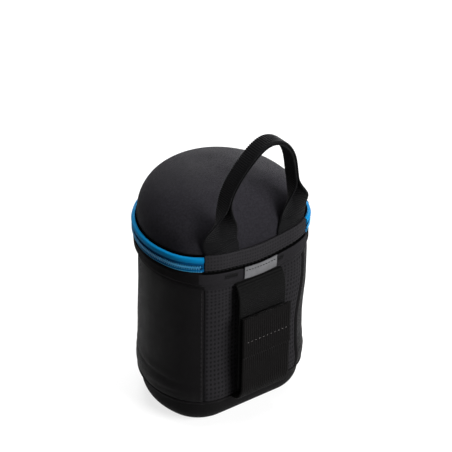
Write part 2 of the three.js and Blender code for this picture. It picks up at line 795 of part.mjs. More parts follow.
// Slider: a curved plate with a lip under the lower coil, and a crown that holds the pull
function makeSlider() {
  const top = PARTING_LEVEL + SLIDER_RISE;
  const lip = SLIDER_INSIDE - COIL_THICKNESS;
  const lipTop = SLIDER_FOOT + SLIDER_LIP;
  const section = [
    [lip, SLIDER_FOOT],
    [SLIDER_FACE, SLIDER_FOOT],
    [SLIDER_FACE, top],
    [SLIDER_INSIDE, top],
    [SLIDER_INSIDE, lipTop],
    [lip, lipTop],
  ];
  const stations = [];
  const steps = 6;
  for (let i = 0; i <= steps; i += 1) {
    stations.push(stationAt(SLIDER_PLACE + SLIDER_LENGTH * (i / steps - 0.5)));
  }
  const plate = sweep(section, stations);
  const crown = new THREE.Shape();
  const sunk = SLIDER_PLATE / 2;
  const reach = CROWN_ROOM + CROWN_BAR;
  const half = CROWN_HEIGHT / 2;
  crown.moveTo(-sunk, -half);
  crown.lineTo(reach, -half);
  crown.lineTo(reach, half);
  crown.lineTo(-sunk, half);
  crown.lineTo(-sunk, half - CROWN_BAR);
  crown.lineTo(CROWN_ROOM, half - CROWN_BAR);
  crown.lineTo(CROWN_ROOM, CROWN_BAR - half);
  crown.lineTo(-sunk, CROWN_BAR - half);
  crown.closePath();
  const arch = new THREE.ExtrudeGeometry(crown, { depth: CROWN_WIDTH, bevelEnabled: false });
  arch.translate(0, 0, -CROWN_WIDTH / 2);
  arch.rotateY(-Math.PI / 2);
  return unite([plate, placeOnWall(arch, SLIDER_PLACE, SLIDER_FACE, PARTING_LEVEL)]);
}

// Pull: a tapered tab whose window rides over the crown
function makePull() {
  const head = PULL_THICKNESS / 2;
  const tab = new THREE.Shape();
  tab.moveTo(-PULL_WIDTH / 2, head);
  tab.lineTo(-PULL_WIDTH / 2, -PULL_WINDOW_LENGTH - 2 * head);
  tab.lineTo(-PULL_TIP_RADIUS, PULL_TIP_RADIUS - PULL_LENGTH);
  tab.absarc(0, PULL_TIP_RADIUS - PULL_LENGTH, PULL_TIP_RADIUS, Math.PI, 2 * Math.PI, false);
  tab.lineTo(PULL_WIDTH / 2, -PULL_WINDOW_LENGTH - 2 * head);
  tab.lineTo(PULL_WIDTH / 2, head);
  tab.closePath();
  const window = new THREE.Path();
  window.moveTo(-PULL_WINDOW / 2, -head);
  window.lineTo(PULL_WINDOW / 2, -head);
  window.lineTo(PULL_WINDOW / 2, -head - PULL_WINDOW_LENGTH);
  window.lineTo(-PULL_WINDOW / 2, -head - PULL_WINDOW_LENGTH);
  window.closePath();
  tab.holes.push(window);
  const drawn = { depth: PULL_THICKNESS, bevelEnabled: false, curveSegments: 6 };
  const pull = new THREE.ExtrudeGeometry(tab, drawn);
  pull.translate(0, 0, -PULL_THICKNESS / 2);
  return placeOnWall(pull, SLIDER_PLACE, PULL_AXIS_OFFSET, PARTING_LEVEL);
}

// The padded body
const body = new THREE.Group();
addPiece(body, 'base_cup', makeBaseCup(), fabric(MOULDED, 0.8));
addPiece(body, 'body_liner', makeBodyLiner(), fabric(LINING_GREY));
addPiece(body, 'bottom_pad', makeBottomPad(), fabric(LINING_GREY));
addPiece(body, 'front_wrap', makeFrontWrap(), fabric(CLOTH));
addPiece(body, 'back_panel', makeBackPanel(), fabric(CLOTH));
addPiece(body, 'hem_binding', makeHemBinding(), fabric(CLOTH));
addPiece(body, 'rim_band', makeRimBand(), fabric(CLOTH));
const rimBinding = makeBinding(LINER_INSIDE, -SEAM_GAP, CUP_TOP + SEAM_GAP, BINDING_TOP);
addPiece(body, 'rim_binding', rimBinding, fabric(MOULDED));
addPiece(body, 'lower_zip_tape', makeLowerTape(), fabric(ZIP_BLUE));
addPiece(body, 'lower_zip_coil', makeCoil(false), fabric(ZIP_BLUE, 0.4));
addPiece(body, 'hinge_band_lower', makeHingeBandLower(), fabric(CLOTH));
addPiece(body, 'label_tab', makeLabelTab(), fabric(0x77777a, 0.35));
pouch.add(body);

// The domed lid
const lid = new THREE.Group();
const LID_SHELL_FOOT = LID_FOOT + BINDING + SEAM_GAP;
const LID_INSIDE = LID_FACE - LID_WALL;
const LID_LINER_FACE = LID_INSIDE - SEAM_GAP;
const LID_LINER_TOP = LID_TOP - LID_WALL - SEAM_GAP;
const lidLiner = makeDome(LID_LINER_FACE, LID_LINER_TOP, LINING, LID_SHELL_FOOT);
const lidBinding = makeBinding(LID_LINER_FACE - LINING, LID_FACE, LID_FOOT, LID_FOOT + BINDING);
addPiece(lid, 'lid_shell', makeDome(LID_FACE, LID_TOP, LID_WALL, LID_SHELL_FOOT), fabric(CLOTH));
addPiece(lid, 'lid_liner', lidLiner, fabric(LINING_GREY));
addPiece(lid, 'lid_binding', lidBinding, fabric(MOULDED));
addPiece(lid, 'upper_zip_tape', makeUpperTape(), fabric(ZIP_BLUE));
addPiece(lid, 'upper_zip_coil', makeCoil(true), fabric(ZIP_BLUE, 0.4));
addPiece(lid, 'hinge_band_upper', makeHingeBandUpper(), fabric(CLOTH));
addPiece(lid, 'handle_webbing', makeHandle(), fabric(CLOTH));
pouch.add(lid);

// The zip slider with its pull, parked round the side
const slider = new THREE.Group();
const METAL = new THREE.MeshStandardMaterial({ color: 0x2c2d30, roughness: 0.35, metalness: 0.9 });
addPiece(slider, 'zip_slider', makeSlider(), METAL.clone());
addPiece(slider, 'zip_pull', makePull(), METAL.clone());
pouch.add(slider);

// Belt strap and belt flap with the patches that hold them together
const belt = new THREE.Group();
addPiece(belt, 'belt_strap', makeBeltStrap(), fabric(CLOTH));
addPiece(belt, 'loop_patch', makePatch(LOOP_FACE), fabric(MOULDED, 1));
addPiece(belt, 'hook_patch', makePatch(HOOK_FACE), fabric(MOULDED, 0.7));
addPiece(belt, 'belt_flap', makeBeltFlap(), fabric(CLOTH));
pouch.add(belt);

export default pouch;
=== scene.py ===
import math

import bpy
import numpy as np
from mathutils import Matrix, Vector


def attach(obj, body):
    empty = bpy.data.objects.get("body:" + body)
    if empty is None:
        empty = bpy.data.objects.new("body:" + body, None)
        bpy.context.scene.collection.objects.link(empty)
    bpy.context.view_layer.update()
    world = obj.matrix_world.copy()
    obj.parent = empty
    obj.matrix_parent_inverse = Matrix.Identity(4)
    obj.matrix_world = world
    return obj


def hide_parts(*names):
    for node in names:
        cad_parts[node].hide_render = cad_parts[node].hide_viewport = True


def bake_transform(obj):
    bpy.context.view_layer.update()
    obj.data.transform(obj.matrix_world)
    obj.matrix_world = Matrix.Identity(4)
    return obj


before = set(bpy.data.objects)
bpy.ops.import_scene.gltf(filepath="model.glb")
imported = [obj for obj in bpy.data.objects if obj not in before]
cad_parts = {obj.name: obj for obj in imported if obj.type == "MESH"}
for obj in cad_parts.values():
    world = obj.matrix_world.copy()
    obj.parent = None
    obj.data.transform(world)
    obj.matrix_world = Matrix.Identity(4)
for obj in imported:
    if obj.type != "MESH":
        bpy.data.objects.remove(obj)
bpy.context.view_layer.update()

# Lens pouch, dressed over its frame: each fabric, webbing, zip and lining piece is its own mesh
# with a procedural material. Lengths are in millimetres until a mesh is made, and UV maps hold
# millimetres along the cloth, so that every weave has its real pitch. Lamps, the camera's clipping
# and the points of a blend are in metres.
# A place on the wall is given by s, the distance round the outline from the front's middle, positive
# towards +X, by its offset outwards from the sleeve's plan, and by its level z.

MM = 0.001
TAU = 2 * math.pi

# Plan of the sleeve's outer face
FRONT_RADIUS = 58.0
BACK_FACE = 39.5
CORNER_RADIUS = 31.0
CORNER_Y = BACK_FACE - CORNER_RADIUS
CORNER_X = math.sqrt((FRONT_RADIUS - CORNER_RADIUS) ** 2 - CORNER_Y**2)
BLEND = math.atan2(CORNER_Y, CORNER_X)
FRONT_HALF = FRONT_RADIUS * (math.pi / 2 + BLEND)
CORNER_ARC = CORNER_RADIUS * (math.pi / 2 - BLEND)
HALF_LAP = FRONT_HALF + CORNER_ARC + CORNER_X
LAP = 2 * HALF_LAP

# Clearances
SEAM_GAP = 0.3
PARTING_GAP = 0.5

# Levels
HEM_LEVEL = 19.7
HEM_HEIGHT = 2.0
SLEEVE_FOOT = HEM_LEVEL + HEM_HEIGHT + SEAM_GAP
SLEEVE_TOP = 117.0
RIM_TOP = 128.2
PARTING_LEVEL = 131.4
BAND_TOP = 140.7
DOME_FOOT = 138.6
LID_TOP = 172.4
BACK_SAG = 4.0
SAG_START = 98.0
SAG_END = 165.0
BINDING = 1.2
BINDING_TOP = PARTING_LEVEL - PARTING_GAP / 2
CUP_TOP = BINDING_TOP - BINDING - SEAM_GAP
LID_FOOT = PARTING_LEVEL + PARTING_GAP / 2
LID_SHELL_FOOT = LID_FOOT + BINDING + SEAM_GAP

# Offsets from the plan
SLEEVE_FACE = -0.2
SLEEVE_WALL = 1.3
TAPE_BACK = 0.4
TAPE_FACE = 2.0
HINGE_FACE = 2.4
RIM_FLARE = 2.3
CUP_FACE = -1.8
CUP_WALL = 5.0
CUP_INSIDE = CUP_FACE - CUP_WALL
LINING_WALL = 0.8
LINER_FACE = CUP_INSIDE - SEAM_GAP
LINER_INSIDE = LINER_FACE - LINING_WALL
LID_FACE = -0.3
LID_WALL = 4.0
LID_INSIDE = LID_FACE - LID_WALL
LID_LINING_FACE = LID_INSIDE - SEAM_GAP


def corner_path(angle):
    """Distance round to a place on the corner, by its direction from the corner's centre."""
    return FRONT_HALF + CORNER_RADIUS * (math.radians(angle) - BLEND)


ZIP_END = corner_path(60.3)
SEAM = corner_path(61.0)


# Places on the wall


def smoothstep(value, low, high):
    t = np.clip((np.asarray(value, float) - low) / (high - low), 0, 1)
    return t * t * (3 - 2 * t)


def ridge(value, middle, width):
    """A smooth bump, 1 at its middle."""
    return np.exp(-(((value - middle) / width) ** 2))


def spread(*values):
    return np.broadcast_arrays(*[np.asarray(value, float) for value in values])


def from_front(s):
    return np.abs(s - LAP * np.round(s / LAP))


def beside(s, place):
    """Distance round the wall from a place."""
    return np.abs((s - place + HALF_LAP) % LAP - HALF_LAP)


def sag_share(from_back):
    reach = HALF_LAP - ZIP_END
    return np.where(from_back < reach, np.cos(np.pi / 2 * np.minimum(from_back / reach, 1)) ** 2, 0)


def station(s):
    """Plan point, normal and sag at distances round the wall."""
    s = np.asarray(s, float)
    s = s - LAP * np.round(s / LAP)
    side = np.where(s < 0, -1.0, 1.0)
    along = np.abs(s)
    front = along <= FRONT_HALF
    corner = along <= FRONT_HALF + CORNER_ARC
    turned = np.where(front, along / FRONT_RADIUS - np.pi / 2, BLEND + (along - FRONT_HALF) / CORNER_RADIUS)
    angle = np.where(corner, turned, np.pi / 2)
    x = np.where(corner, CORNER_X + CORNER_RADIUS * np.cos(angle), HALF_LAP - along)
    y = np.where(corner, CORNER_Y + CORNER_RADIUS * np.sin(angle), BACK_FACE)
    x = np.where(front, FRONT_RADIUS * np.cos(angle), x)
    y = np.where(front, FRONT_RADIUS * np.sin(angle), y)
    return side * x, y, side * np.cos(angle), np.sin(angle), BACK_SAG * sag_share(HALF_LAP - along)


def drop(sag, z):
    return sag * smoothstep(z, SAG_START, SLEEVE_TOP) * (1 - smoothstep(z, BAND_TOP, SAG_END))


def wall(s, off, z):
    s, off, z = spread(s, off, z)
    x, y, nx, ny, sag = station(s)
    return np.stack([x + nx * off, y + ny * off, z - drop(sag, z)], -1)


def wall_normal(s):
    _, _, nx, ny, _ = station(s)
    return np.stack([nx, ny, np.zeros_like(nx)], -1)


def lap(step=2.2):
    count = int(round(LAP / step))
    return -HALF_LAP + LAP * np.arange(count) / count


def span(low, high, step=2.2):
    return np.linspace(low, high, max(2, int(round((high - low) / step)) + 1))


def waves(points, pitch, seed, count=10):
    """Smooth unevenness through space, about 1 at its largest."""
    source = np.random.default_rng(seed)
    total = np.zeros(points.shape[:-1])
    for _ in range(count):
        direction = source.normal(size=3)
        direction /= np.linalg.norm(direction)
        scale = TAU / (pitch * source.uniform(0.7, 1.5))
        total += np.cos(points @ direction * scale + source.uniform(0, TAU))
    return total / math.sqrt(count) / 1.5


# Meshes


def mesh_object(name, points, faces, uvs, angle=40):
    mesh = bpy.data.meshes.new(name)
    mesh.from_pydata((np.asarray(points).reshape(-1, 3) * MM).tolist(), [], [tuple(f) for f in faces])
    mesh.polygons.foreach_set("use_smooth", [True] * len(mesh.polygons))
    layer = mesh.uv_layers.new(name="Cloth")
    layer.uv.foreach_set("vector", np.asarray(uvs, np.float32).ravel())
    mesh.update()
    mesh.set_sharp_from_angle(angle=math.radians(angle))
    obj = bpy.data.objects.new(name, mesh)
    bpy.context.scene.collection.objects.link(obj)
    return obj


def lattice(name, grid, u, v, wrap_u=False, fan=False, angle=40):
    """A mesh through a grid of points that closes on itself along the second direction, and with
    wrap_u along the first. u and v are places on the cloth, with one value more where it closes.
    Open ends are capped by one face each, or by a fan."""
    nu, nv = grid.shape[:2]
    points = grid.reshape(-1, 3).tolist()
    u, v = np.asarray(u, float), np.asarray(v, float)
    if u.ndim == 1:
        u, v = np.meshgrid(u, v, indexing="ij")
    i, j = np.meshgrid(np.arange(nu if wrap_u else nu - 1), np.arange(nv), indexing="ij")
    i, j = i.ravel(), j.ravel()
    i2, j2 = (i + 1) % nu, (j + 1) % nv
    faces = np.stack([i * nv + j, i2 * nv + j, i2 * nv + j2, i * nv + j2], 1).tolist()
    corners = [(i, j), (i + 1, j), (i + 1, j + 1), (i, j + 1)]
    uvs = np.stack([np.stack([u[a, b], v[a, b]], -1) for a, b in corners], 1).reshape(-1, 2).tolist()
    for end in [] if wrap_u else [0, nu - 1]:
        turn = list(range(nv)) if end else list(range(nv))[::-1]
        order = [end * nv + k for k in turn]
        where = [(u[end, k], v[end, k]) for k in turn]
        if not fan:
            faces.append(order)
            uvs.extend(where)
            continue
        points.append(grid[end].mean(0).tolist())
        middle = tuple(np.mean(where, 0))
        for k in range(nv):
            n = (k + 1) % nv
            faces.append([order[k], order[n], len(points) - 1])
            uvs.extend([where[k], where[n], middle])
    obj = mesh_object(name, points, faces, uvs, angle)
    face_outwards(obj.data)
    return obj


def face_outwards(mesh):
    mesh.calc_loop_triangles()
    co = np.array([v.co for v in mesh.vertices])
    corners = np.array([t.vertices for t in mesh.loop_triangles])
    a, b, c = co[corners[:, 0]], co[corners[:, 1]], co[corners[:, 2]]
    if np.sum(a * np.cross(b, c)) < 0:
        mesh.flip_normals()


def rounded(section, fillet=0.3, step=2.0, closed=True):
    """A section with its corners rounded and its long sides cut into short ones."""
    points = [np.asarray(p, float) for p in section]
    count = len(points)
    out = []
    for i, here in enumerate(points):
        if not closed and i in (0, count - 1):
            out.append(here)
            continue
        before, after = points[i - 1] - here, points[(i + 1) % count] - here
        reach = min(fillet, 0.45 * np.linalg.norm(before), 0.45 * np.linalg.norm(after))
        start = here + before / np.linalg.norm(before) * reach
        end = here + after / np.linalg.norm(after) * reach
        for t in (0, 1 / 3, 2 / 3, 1):
            out.append((1 - t) ** 2 * start + 2 * t * (1 - t) * here + t * t * end)
    filled = []
    for i in range(len(out) if closed else len(out) - 1):
        a, b = out[i], out[(i + 1) % len(out)]
        parts = max(1, int(math.ceil(np.linalg.norm(b - a) / step)))
        filled.extend(a + (b - a) * k / parts for k in range(parts))
    if not closed:
        filled.append(out[-1])
    return np.array(filled)


def upright(back, face, foot, top, fillet, step=2.0):
    """Section of a strip that stands on the wall."""
    return rounded([(back, foot), (face, foot), (face, top), (back, top)], fillet, step)


def oval(off, z, half_width, half_height, sides):
    """Section of a cord."""
    turns = np.linspace(0, TAU, sides + 1)[:-1]
    return np.stack([off + half_width * np.cos(turns), z + half_height * np.sin(turns)], 1)


def around(section, closed=True):
    """Distances along a section, from its first point."""
    ends = np.vstack([section, section[:1]]) if closed else section
    return np.concatenate([[0], np.cumsum(np.linalg.norm(np.diff(ends, axis=0), axis=1))])


def out_and_back(z, gap):
    """Places on a cloth that runs up its face along z, and down its back a gap further on."""
    return np.concatenate([z, 2 * z[-1] - z[::-1] + gap, [2 * z[-1] - z[0] + 2 * gap]])


def swept(name, section, s, closed=False, shape=None, angle=40):
    """A closed section of offsets and levels, swept along the wall. shape gives extra offset and
    level at each place."""
    off = np.repeat(section[None, :, 0], len(s), 0)
    z = np.repeat(section[None, :, 1], len(s), 0)
    across = np.repeat(np.asarray(s)[:, None], len(section), 1)
    if shape:
        more, rise = shape(across, off, z)
        off, z = off + more, z + rise
    u = np.append(s, s[0] + LAP) if closed else s
    return lattice(name, wall(across, off, z), u, around(section), wrap_u=closed, angle=angle)


def joined(name, parts):
    """One mesh of many small solids, each given as points, faces and a UV place per point."""
    points, faces, uvs, start = [], [], [], 0
    for part_points, part_faces, part_uvs in parts:
        points.append(np.asarray(part_points))
        for face in part_faces:
            faces.append([start + k for k in face])
            uvs.extend(part_uvs[k] for k in face)
        start += len(part_points)
    return mesh_object(name, np.vstack(points), faces, uvs, 60)


def tube_faces(rings, sides):
    """Quads between rings of points that follow one another."""
    faces = []
    for i in range(rings - 1):
        for k in range(sides):
            n = (k + 1) % sides
            faces.append([i * sides + k, i * sides + n, (i + 1) * sides + n, (i + 1) * sides + k])
    return faces


def capsule(a, b, radius, normal, flat=1.0, sides=6):
    """A rounded thread from a to b, lying on a surface with that normal."""
    a, b = np.asarray(a, float), np.asarray(b, float)
    length = np.linalg.norm(b - a)
    along = (b - a) / length
    up = np.asarray(normal, float)
    up = up - along * float(np.dot(up, along))
    up /= np.linalg.norm(up)
    side = np.cross(along, up)
    points, uvs = [], []
    stops = [(0.12, 0.72), (0.35, 1.0), (0.65, 1.0), (0.88, 0.72)]
    for share, size in stops:
        for k in range(sides):
            turn = TAU * k / sides
            spoke = side * math.cos(turn) + up * math.sin(turn) * flat
            points.append(a + along * length * share + spoke * radius * size)
            uvs.append((length * share, turn))
    tail, head = len(points), len(points) + 1
    faces = tube_faces(len(stops), sides)
    for k in range(sides):
        n = (k + 1) % sides
        faces.append([k, tail, n])
        faces.append([(len(stops) - 1) * sides + k, (len(stops) - 1) * sides + n, head])
    return np.array(points + [a, b]), faces, uvs + [(0, 0), (length, 0)]


def sew(name, place, length, stitch, gap, radius, *dressing):
    """A row of stitches along place(distance), which gives points and the surface's normals there."""
    pitch = stitch + gap
    mids = pitch * (np.arange(int(length // pitch)) + 0.5)
    a, normal = place(mids - stitch / 2)
    b, _ = place(mids + stitch / 2)
    lift = normal * radius * 0.35
    threads = [capsule(a[k] + lift[k], b[k] + lift[k], radius, normal[k], 0.8) for k in range(len(mids))]
    return dress(joined(name, threads), *dressing)


def on_wall(offset, level, start, follow=None):
    """Places along the wall at one offset and level, or as much lower as follow says."""
    def place(distance):
        s = start + distance
        rise = follow(s, level) if follow else 0
        return wall(s, offset(s, level) if callable(offset) else offset, level + rise), wall_normal(s)
    return place


def up_sleeve(s, start):
    """Places up the sleeve at one distance round it."""
    def place(distance):
        z = start + distance
        along = np.full(len(z), s)
        moved = along + wander(along, z)
        return wall(moved, sleeve_offset(along, z), z), wall_normal(moved)
    return place


# Materials


def tone(red, green, blue):
    def linear(c):
        c /= 255
        return c / 12.92 if c <= 0.04045 else ((c + 0.055) / 1.055) ** 2.4
    return (linear(red), linear(green), linear(blue), 1.0)


def scaled(colour, share):
    return tuple(min(1.0, c * share) for c in colour[:3]) + (1.0,)


class Paint:
    """A procedural material, written as sums of node outputs."""

    def __init__(self, name, roughness, specular, metallic=0.0, sheen=0.0, coat=0.0):
        self.material = bpy.data.materials.new(name)
        self.material.use_nodes = True
        self.tree = self.material.node_tree
        self.shader = self.tree.nodes["Principled BSDF"]
        self.set(self.shader, {
            "Roughness": roughness, "Specular IOR Level": specular, "Metallic": metallic,
            "Sheen Weight": sheen, "Sheen Roughness": 0.3, "Coat Weight": coat, "Coat Roughness": 0.25,
        })
        uv = self.node("UVMap")
        uv.uv_map = "Cloth"
        parts = self.node("SeparateXYZ", {0: uv.outputs[0]})
        self.u, self.v = parts.outputs[0], parts.outputs[1]
        self.space = self.node("TexCoord").outputs["Object"]

    def set(self, node, values):
        """Links or sets the node's inputs, by name or number."""
        for key, value in values.items():
            if isinstance(value, bpy.types.NodeSocket):
                self.tree.links.new(value, node.inputs[key])
            else:
                node.inputs[key].default_value = value
        return node

    def node(self, kind, values=None):
        return self.set(self.tree.nodes.new(f"ShaderNode{kind}"), values or {})

    def math(self, operation, *values):
        node = self.node("Math", dict(enumerate(values)))
        node.operation = operation
        return node.outputs[0]

    def add(self, a, b):
        return self.math("ADD", a, b)

    def times(self, a, b):
        return self.math("MULTIPLY", a, b)

    def sine(self, value, pitch, phase=0.0):
        return self.math("SINE", self.math("MULTIPLY_ADD", value, TAU / pitch, phase))

    def noise(self, scale, detail=3.0, rough=0.55, stretch=None):
        source = self.space
        if stretch:
            source = self.node("Mapping", {"Scale": stretch, "Vector": source}).outputs[0]
        values = {"Scale": scale, "Detail": detail, "Roughness": rough, "Vector": source}
        return self.node("TexNoise", values).outputs[0]

    def remap(self, value, low, high, to_low=0.0, to_high=1.0):
        return self.node("MapRange", dict(enumerate((value, low, high, to_low, to_high)))).outputs[0]

    def mix(self, share, a, b):
        node = self.node("Mix")
        node.data_type = "RGBA"
        return self.set(node, {0: share, 6: a, 7: b}).outputs[2]

    def colour(self, value):
        self.set(self.shader, {"Base Color": value})

    def roughness(self, value):
        self.set(self.shader, {"Roughness": value})

    def bump(self, height, depth):
        """Adds relief to what the shader has already, by a depth in millimetres."""
        node = self.node("Bump", {"Strength": 1.0, "Distance": depth * MM, "Height": height})
        normal = self.shader.inputs["Normal"]
        if normal.is_linked:
            self.tree.links.new(normal.links[0].from_socket, node.inputs["Normal"])
        self.tree.links.new(node.outputs[0], normal)

    def weave(self, pitch):
        """Threads crossing over and under, about -1 to 1."""
        return self.times(self.sine(self.u, pitch), self.sine(self.v, pitch))

    def twill(self, pitch):
        leaning = self.times(self.sine(self.add(self.u, self.v), pitch), 0.7)
        return self.add(leaning, self.times(self.sine(self.u, pitch / 2), 0.3))

    def pits(self, pitch):
        """Pressed pits on a grid, 0 between them and 1 in their middles."""
        along = self.remap(self.sine(self.u, pitch[0], math.pi / 2), -1.0, 1.0)
        up = self.remap(self.sine(self.v, pitch[1], math.pi / 2), -1.0, 1.0)
        return self.times(along, up)


def pressed(u, v, pitch):
    """The same pits for a mesh."""
    along = (1 + np.cos(TAU * u / pitch[0])) / 2
    up = (1 + np.cos(TAU * v / pitch[1])) / 2
    return smoothstep(along * up, 0.15, 0.85)


MOTTLE = 90


def cloth(name, colour, dark=0.6, light=1.3, pitch=0.55, kind="weave", depth=0.05, roughness=0.82,
          specular=0.03, sheen=0.02, pits=None, pit_shade_share=0.3, fleck=0.35):
    paint = Paint(name, roughness, specular, sheen=sheen)
    base = tone(*colour)
    shaded = scaled(base, dark)
    woven = paint.weave(pitch) if kind == "weave" else paint.twill(pitch)
    wear = paint.remap(paint.noise(MOTTLE, 5.0, 0.6), 0.3, 0.7)
    tint = paint.mix(paint.remap(woven, -1.0, 1.0, 0.2, 0.8), shaded, scaled(base, light))
    aged = paint.mix(paint.times(wear, 0.4), tint, base)
    # Painted shade: the colour is darkened in the pressed pits, to pit_shade_share of the base colour
    if pits:
        aged = paint.mix(paint.remap(paint.pits(pits), 0.2, 0.7), aged, scaled(base, pit_shade_share))
    worn = paint.remap(paint.noise(650, 3.0, 0.7), 0.38, 0.62, 0.0, fleck)
    paint.colour(paint.mix(worn, aged, shaded))
    paint.roughness(paint.remap(wear, 0.0, 1.0, roughness - 0.07, roughness + 0.07))
    paint.bump(woven, depth)
    paint.bump(paint.noise(MOTTLE * 18, 2.0, 0.7), depth * 0.7)
    return paint.material


def moulded():
    paint = Paint("foam_skin", 0.66, 0.03, sheen=0.012)
    grain = paint.noise(1500, 3.0, 0.65)
    patch = paint.remap(paint.noise(45, 4.0, 0.55), 0.35, 0.65)
    mottled = paint.add(paint.times(patch, 0.6), paint.times(grain, 0.4))
    paint.colour(paint.mix(mottled, tone(8, 8, 8), tone(15, 14, 15)))
    paint.roughness(paint.remap(patch, 0.0, 1.0, 0.6, 0.72))
    paint.bump(grain, 0.12)
    paint.bump(paint.weave(0.6), 0.03)
    return paint.material


def nylon(name, colour, roughness=0.35):
    paint = Paint(name, roughness, 0.5)
    base = tone(*colour)
    streak = paint.remap(paint.noise(900, 2.0, 0.5, (1.0, 1.0, 0.25)), 0.35, 0.65)
    paint.colour(paint.mix(streak, scaled(base, 0.6), base))
    paint.roughness(paint.remap(streak, 0.0, 1.0, roughness + 0.08, roughness - 0.05))
    paint.bump(paint.noise(2500, 2.0), 0.03)
    return paint.material


def thread(name, colour):
    paint = Paint(name, 0.7, 0.1)
    base = tone(*colour)
    twist = paint.sine(paint.add(paint.times(paint.u, 3.0), paint.v), 2.0)
    paint.colour(paint.mix(paint.remap(twist, -1.0, 1.0), scaled(base, 0.5), base))
    paint.bump(twist, 0.04)
    return paint.material


def glossy_label():
    paint = Paint("label_film", 0.34, 0.5, coat=0.25)
    haze = paint.remap(paint.noise(160, 4.0, 0.6), 0.3, 0.7)
    paint.colour(paint.mix(haze, tone(50, 50, 52), tone(74, 74, 77)))
    paint.roughness(paint.remap(haze, 0.0, 1.0, 0.28, 0.42))
    paint.bump(paint.noise(420, 4.0, 0.6), 0.12)
    paint.bump(paint.weave(0.9), 0.02)
    return paint.material


def gunmetal():
    paint = Paint("gunmetal", 0.32, 0.5, metallic=1.0)
    brushed = paint.noise(1400, 3.0, 0.6, (1.0, 1.0, 0.15))
    worn = paint.remap(paint.noise(260, 4.0, 0.6), 0.45, 0.7)
    paint.colour(paint.mix(worn, tone(72, 73, 77), tone(112, 112, 116)))
    paint.roughness(paint.remap(brushed, 0.3, 0.7, 0.24, 0.42))
    paint.bump(brushed, 0.01)
    return paint.material


# Distances between pits along and up the cloth
PANEL_PITS = (2.75, 3.6)
HINGE_PITS = (2.1, 2.6)

WRAP = cloth("wrap_cloth", (12, 11, 12), pitch=0.5, depth=0.04, roughness=0.62, specular=0.035, sheen=0.11)
PANEL = cloth("panel_cloth", (32, 31, 33), pits=PANEL_PITS, roughness=0.74)
HINGE = cloth("hinge_cloth", (35, 34, 36), pits=HINGE_PITS, roughness=0.74, pit_shade_share=0.5)
# Painted shade: a darker copy of the rim's cloth, for the shadow under the zip's welt in front
RIM_SHADED_FRONT = cloth("rim_front_cloth_painted_shade", (15, 14, 15), pitch=0.6, roughness=0.72, specular=0.015)
# Painted shadow: near-black cloth laid where the seams hold only shade
PAINTED_SHADOW_BLACK = cloth("painted_shadow_black_cloth", (5, 5, 5), pitch=0.6, roughness=0.9, specular=0.0, sheen=0.0)
# The lit copy of the rim's cloth, for the back, which faces the light
RIM_LIT_BEHIND = cloth("rim_back_cloth_lit_copy", (30, 29, 31), pitch=0.6, roughness=0.72, specular=0.015)
DOME = cloth("dome_cloth", (34, 33, 37), pitch=0.7, kind="twill", depth=0.07, roughness=0.85, sheen=0.05,
             fleck=0.8)
WEB = cloth("handle_web_cloth", (13, 13, 14), pitch=0.8, depth=0.08, roughness=0.62)
FLAP_WEB = cloth("flap_web_cloth", (12, 11, 11), pitch=0.9, depth=0.08, roughness=0.66)
STRAP_WEB = cloth("strap_web_cloth", (11, 11, 11), pitch=0.7, depth=0.06, roughness=0.6)
PIPING = cloth("piping_cloth", (14, 13, 14), pitch=0.6, roughness=0.6)
EDGE = cloth("edge_cloth", (16, 15, 17), pitch=0.8, roughness=0.7)
LINER = cloth("tricot_cloth", (84, 86, 91), pitch=0.7, kind="twill", depth=0.06, roughness=0.9, sheen=0.1)
LOOPS = cloth("loop_cloth", (16, 16, 17), pitch=1.1, depth=0.2, roughness=0.95)
HOOKS = cloth("hook_cloth", (18, 18, 20), pitch=1.6, depth=0.08, roughness=0.5, specular=0.2)
WELT = cloth("welt_cloth", (4, 108, 158), dark=0.8, light=1.12, pitch=0.5, depth=0.03, roughness=0.6,
             specular=0.03, fleck=0.15)
TAPE = cloth("tape_cloth", (4, 80, 128), light=1.2, pitch=0.6, roughness=0.7)
ZIP_CORD = cloth("zip_cord_cloth", (2, 38, 70), light=1.2, pitch=0.6, roughness=0.8)
FOAM = moulded()
COIL = nylon("coil_nylon", (44, 146, 198))
THREAD_BLACK = thread("thread_black", (5, 5, 6))
# Grey thread that is partly painted highlight: the light dashes along the side seams' folded edge
THREAD_GREY_HIGHLIGHT = thread("thread_grey_painted_highlight", (44, 42, 44))
THREAD_PALE = thread("thread_pale", (88, 85, 84))
THREAD_BLUE = thread("thread_blue", (84, 182, 226))
LABEL = glossy_label()
METAL = gunmetal()


def dress(obj, material, body, slot, *nodes):
    """Gives a piece its material and hides the CAD nodes it stands for; slot is not used. A piece that is
    blended between two bodies afterwards has no body here."""
    obj.data.materials.clear()
    obj.data.materials.append(material)
    if body:
        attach(obj, body)
    if nodes:
        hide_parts(*nodes)
    return obj


# Body

MIDDLE = np.array([0.0, -8.0, 0.0])
FLOOR_STEPS = 8


def quarter(centre, level, radius, steps=10):
    """A quarter turn of a profile, from the floor up to the wall."""
    angles = np.linspace(0, math.pi / 2, steps + 1)
    return np.stack([centre + radius * np.sin(angles), level - radius * np.cos(angles)], 1)


def straight(off, low, high, step=3.0):
    """The upright part of a profile."""
    z = span(low, high, step)
    return np.stack([np.full(len(z), off), z], 1)


def towards_middle(ring, share):
    """A ring drawn in level, to that share of its size."""
    mid = MIDDLE + [0, 0, ring[0, 2]]
    return mid + (ring - mid) * share


def stacked(name, grid, s, heights):
    """A mesh of rings that follow one another, closed by a fan at each end."""
    across, turned = np.meshgrid(np.append(s, s[0] + LAP), heights)
    return lattice(name, grid, across, turned, fan=True)


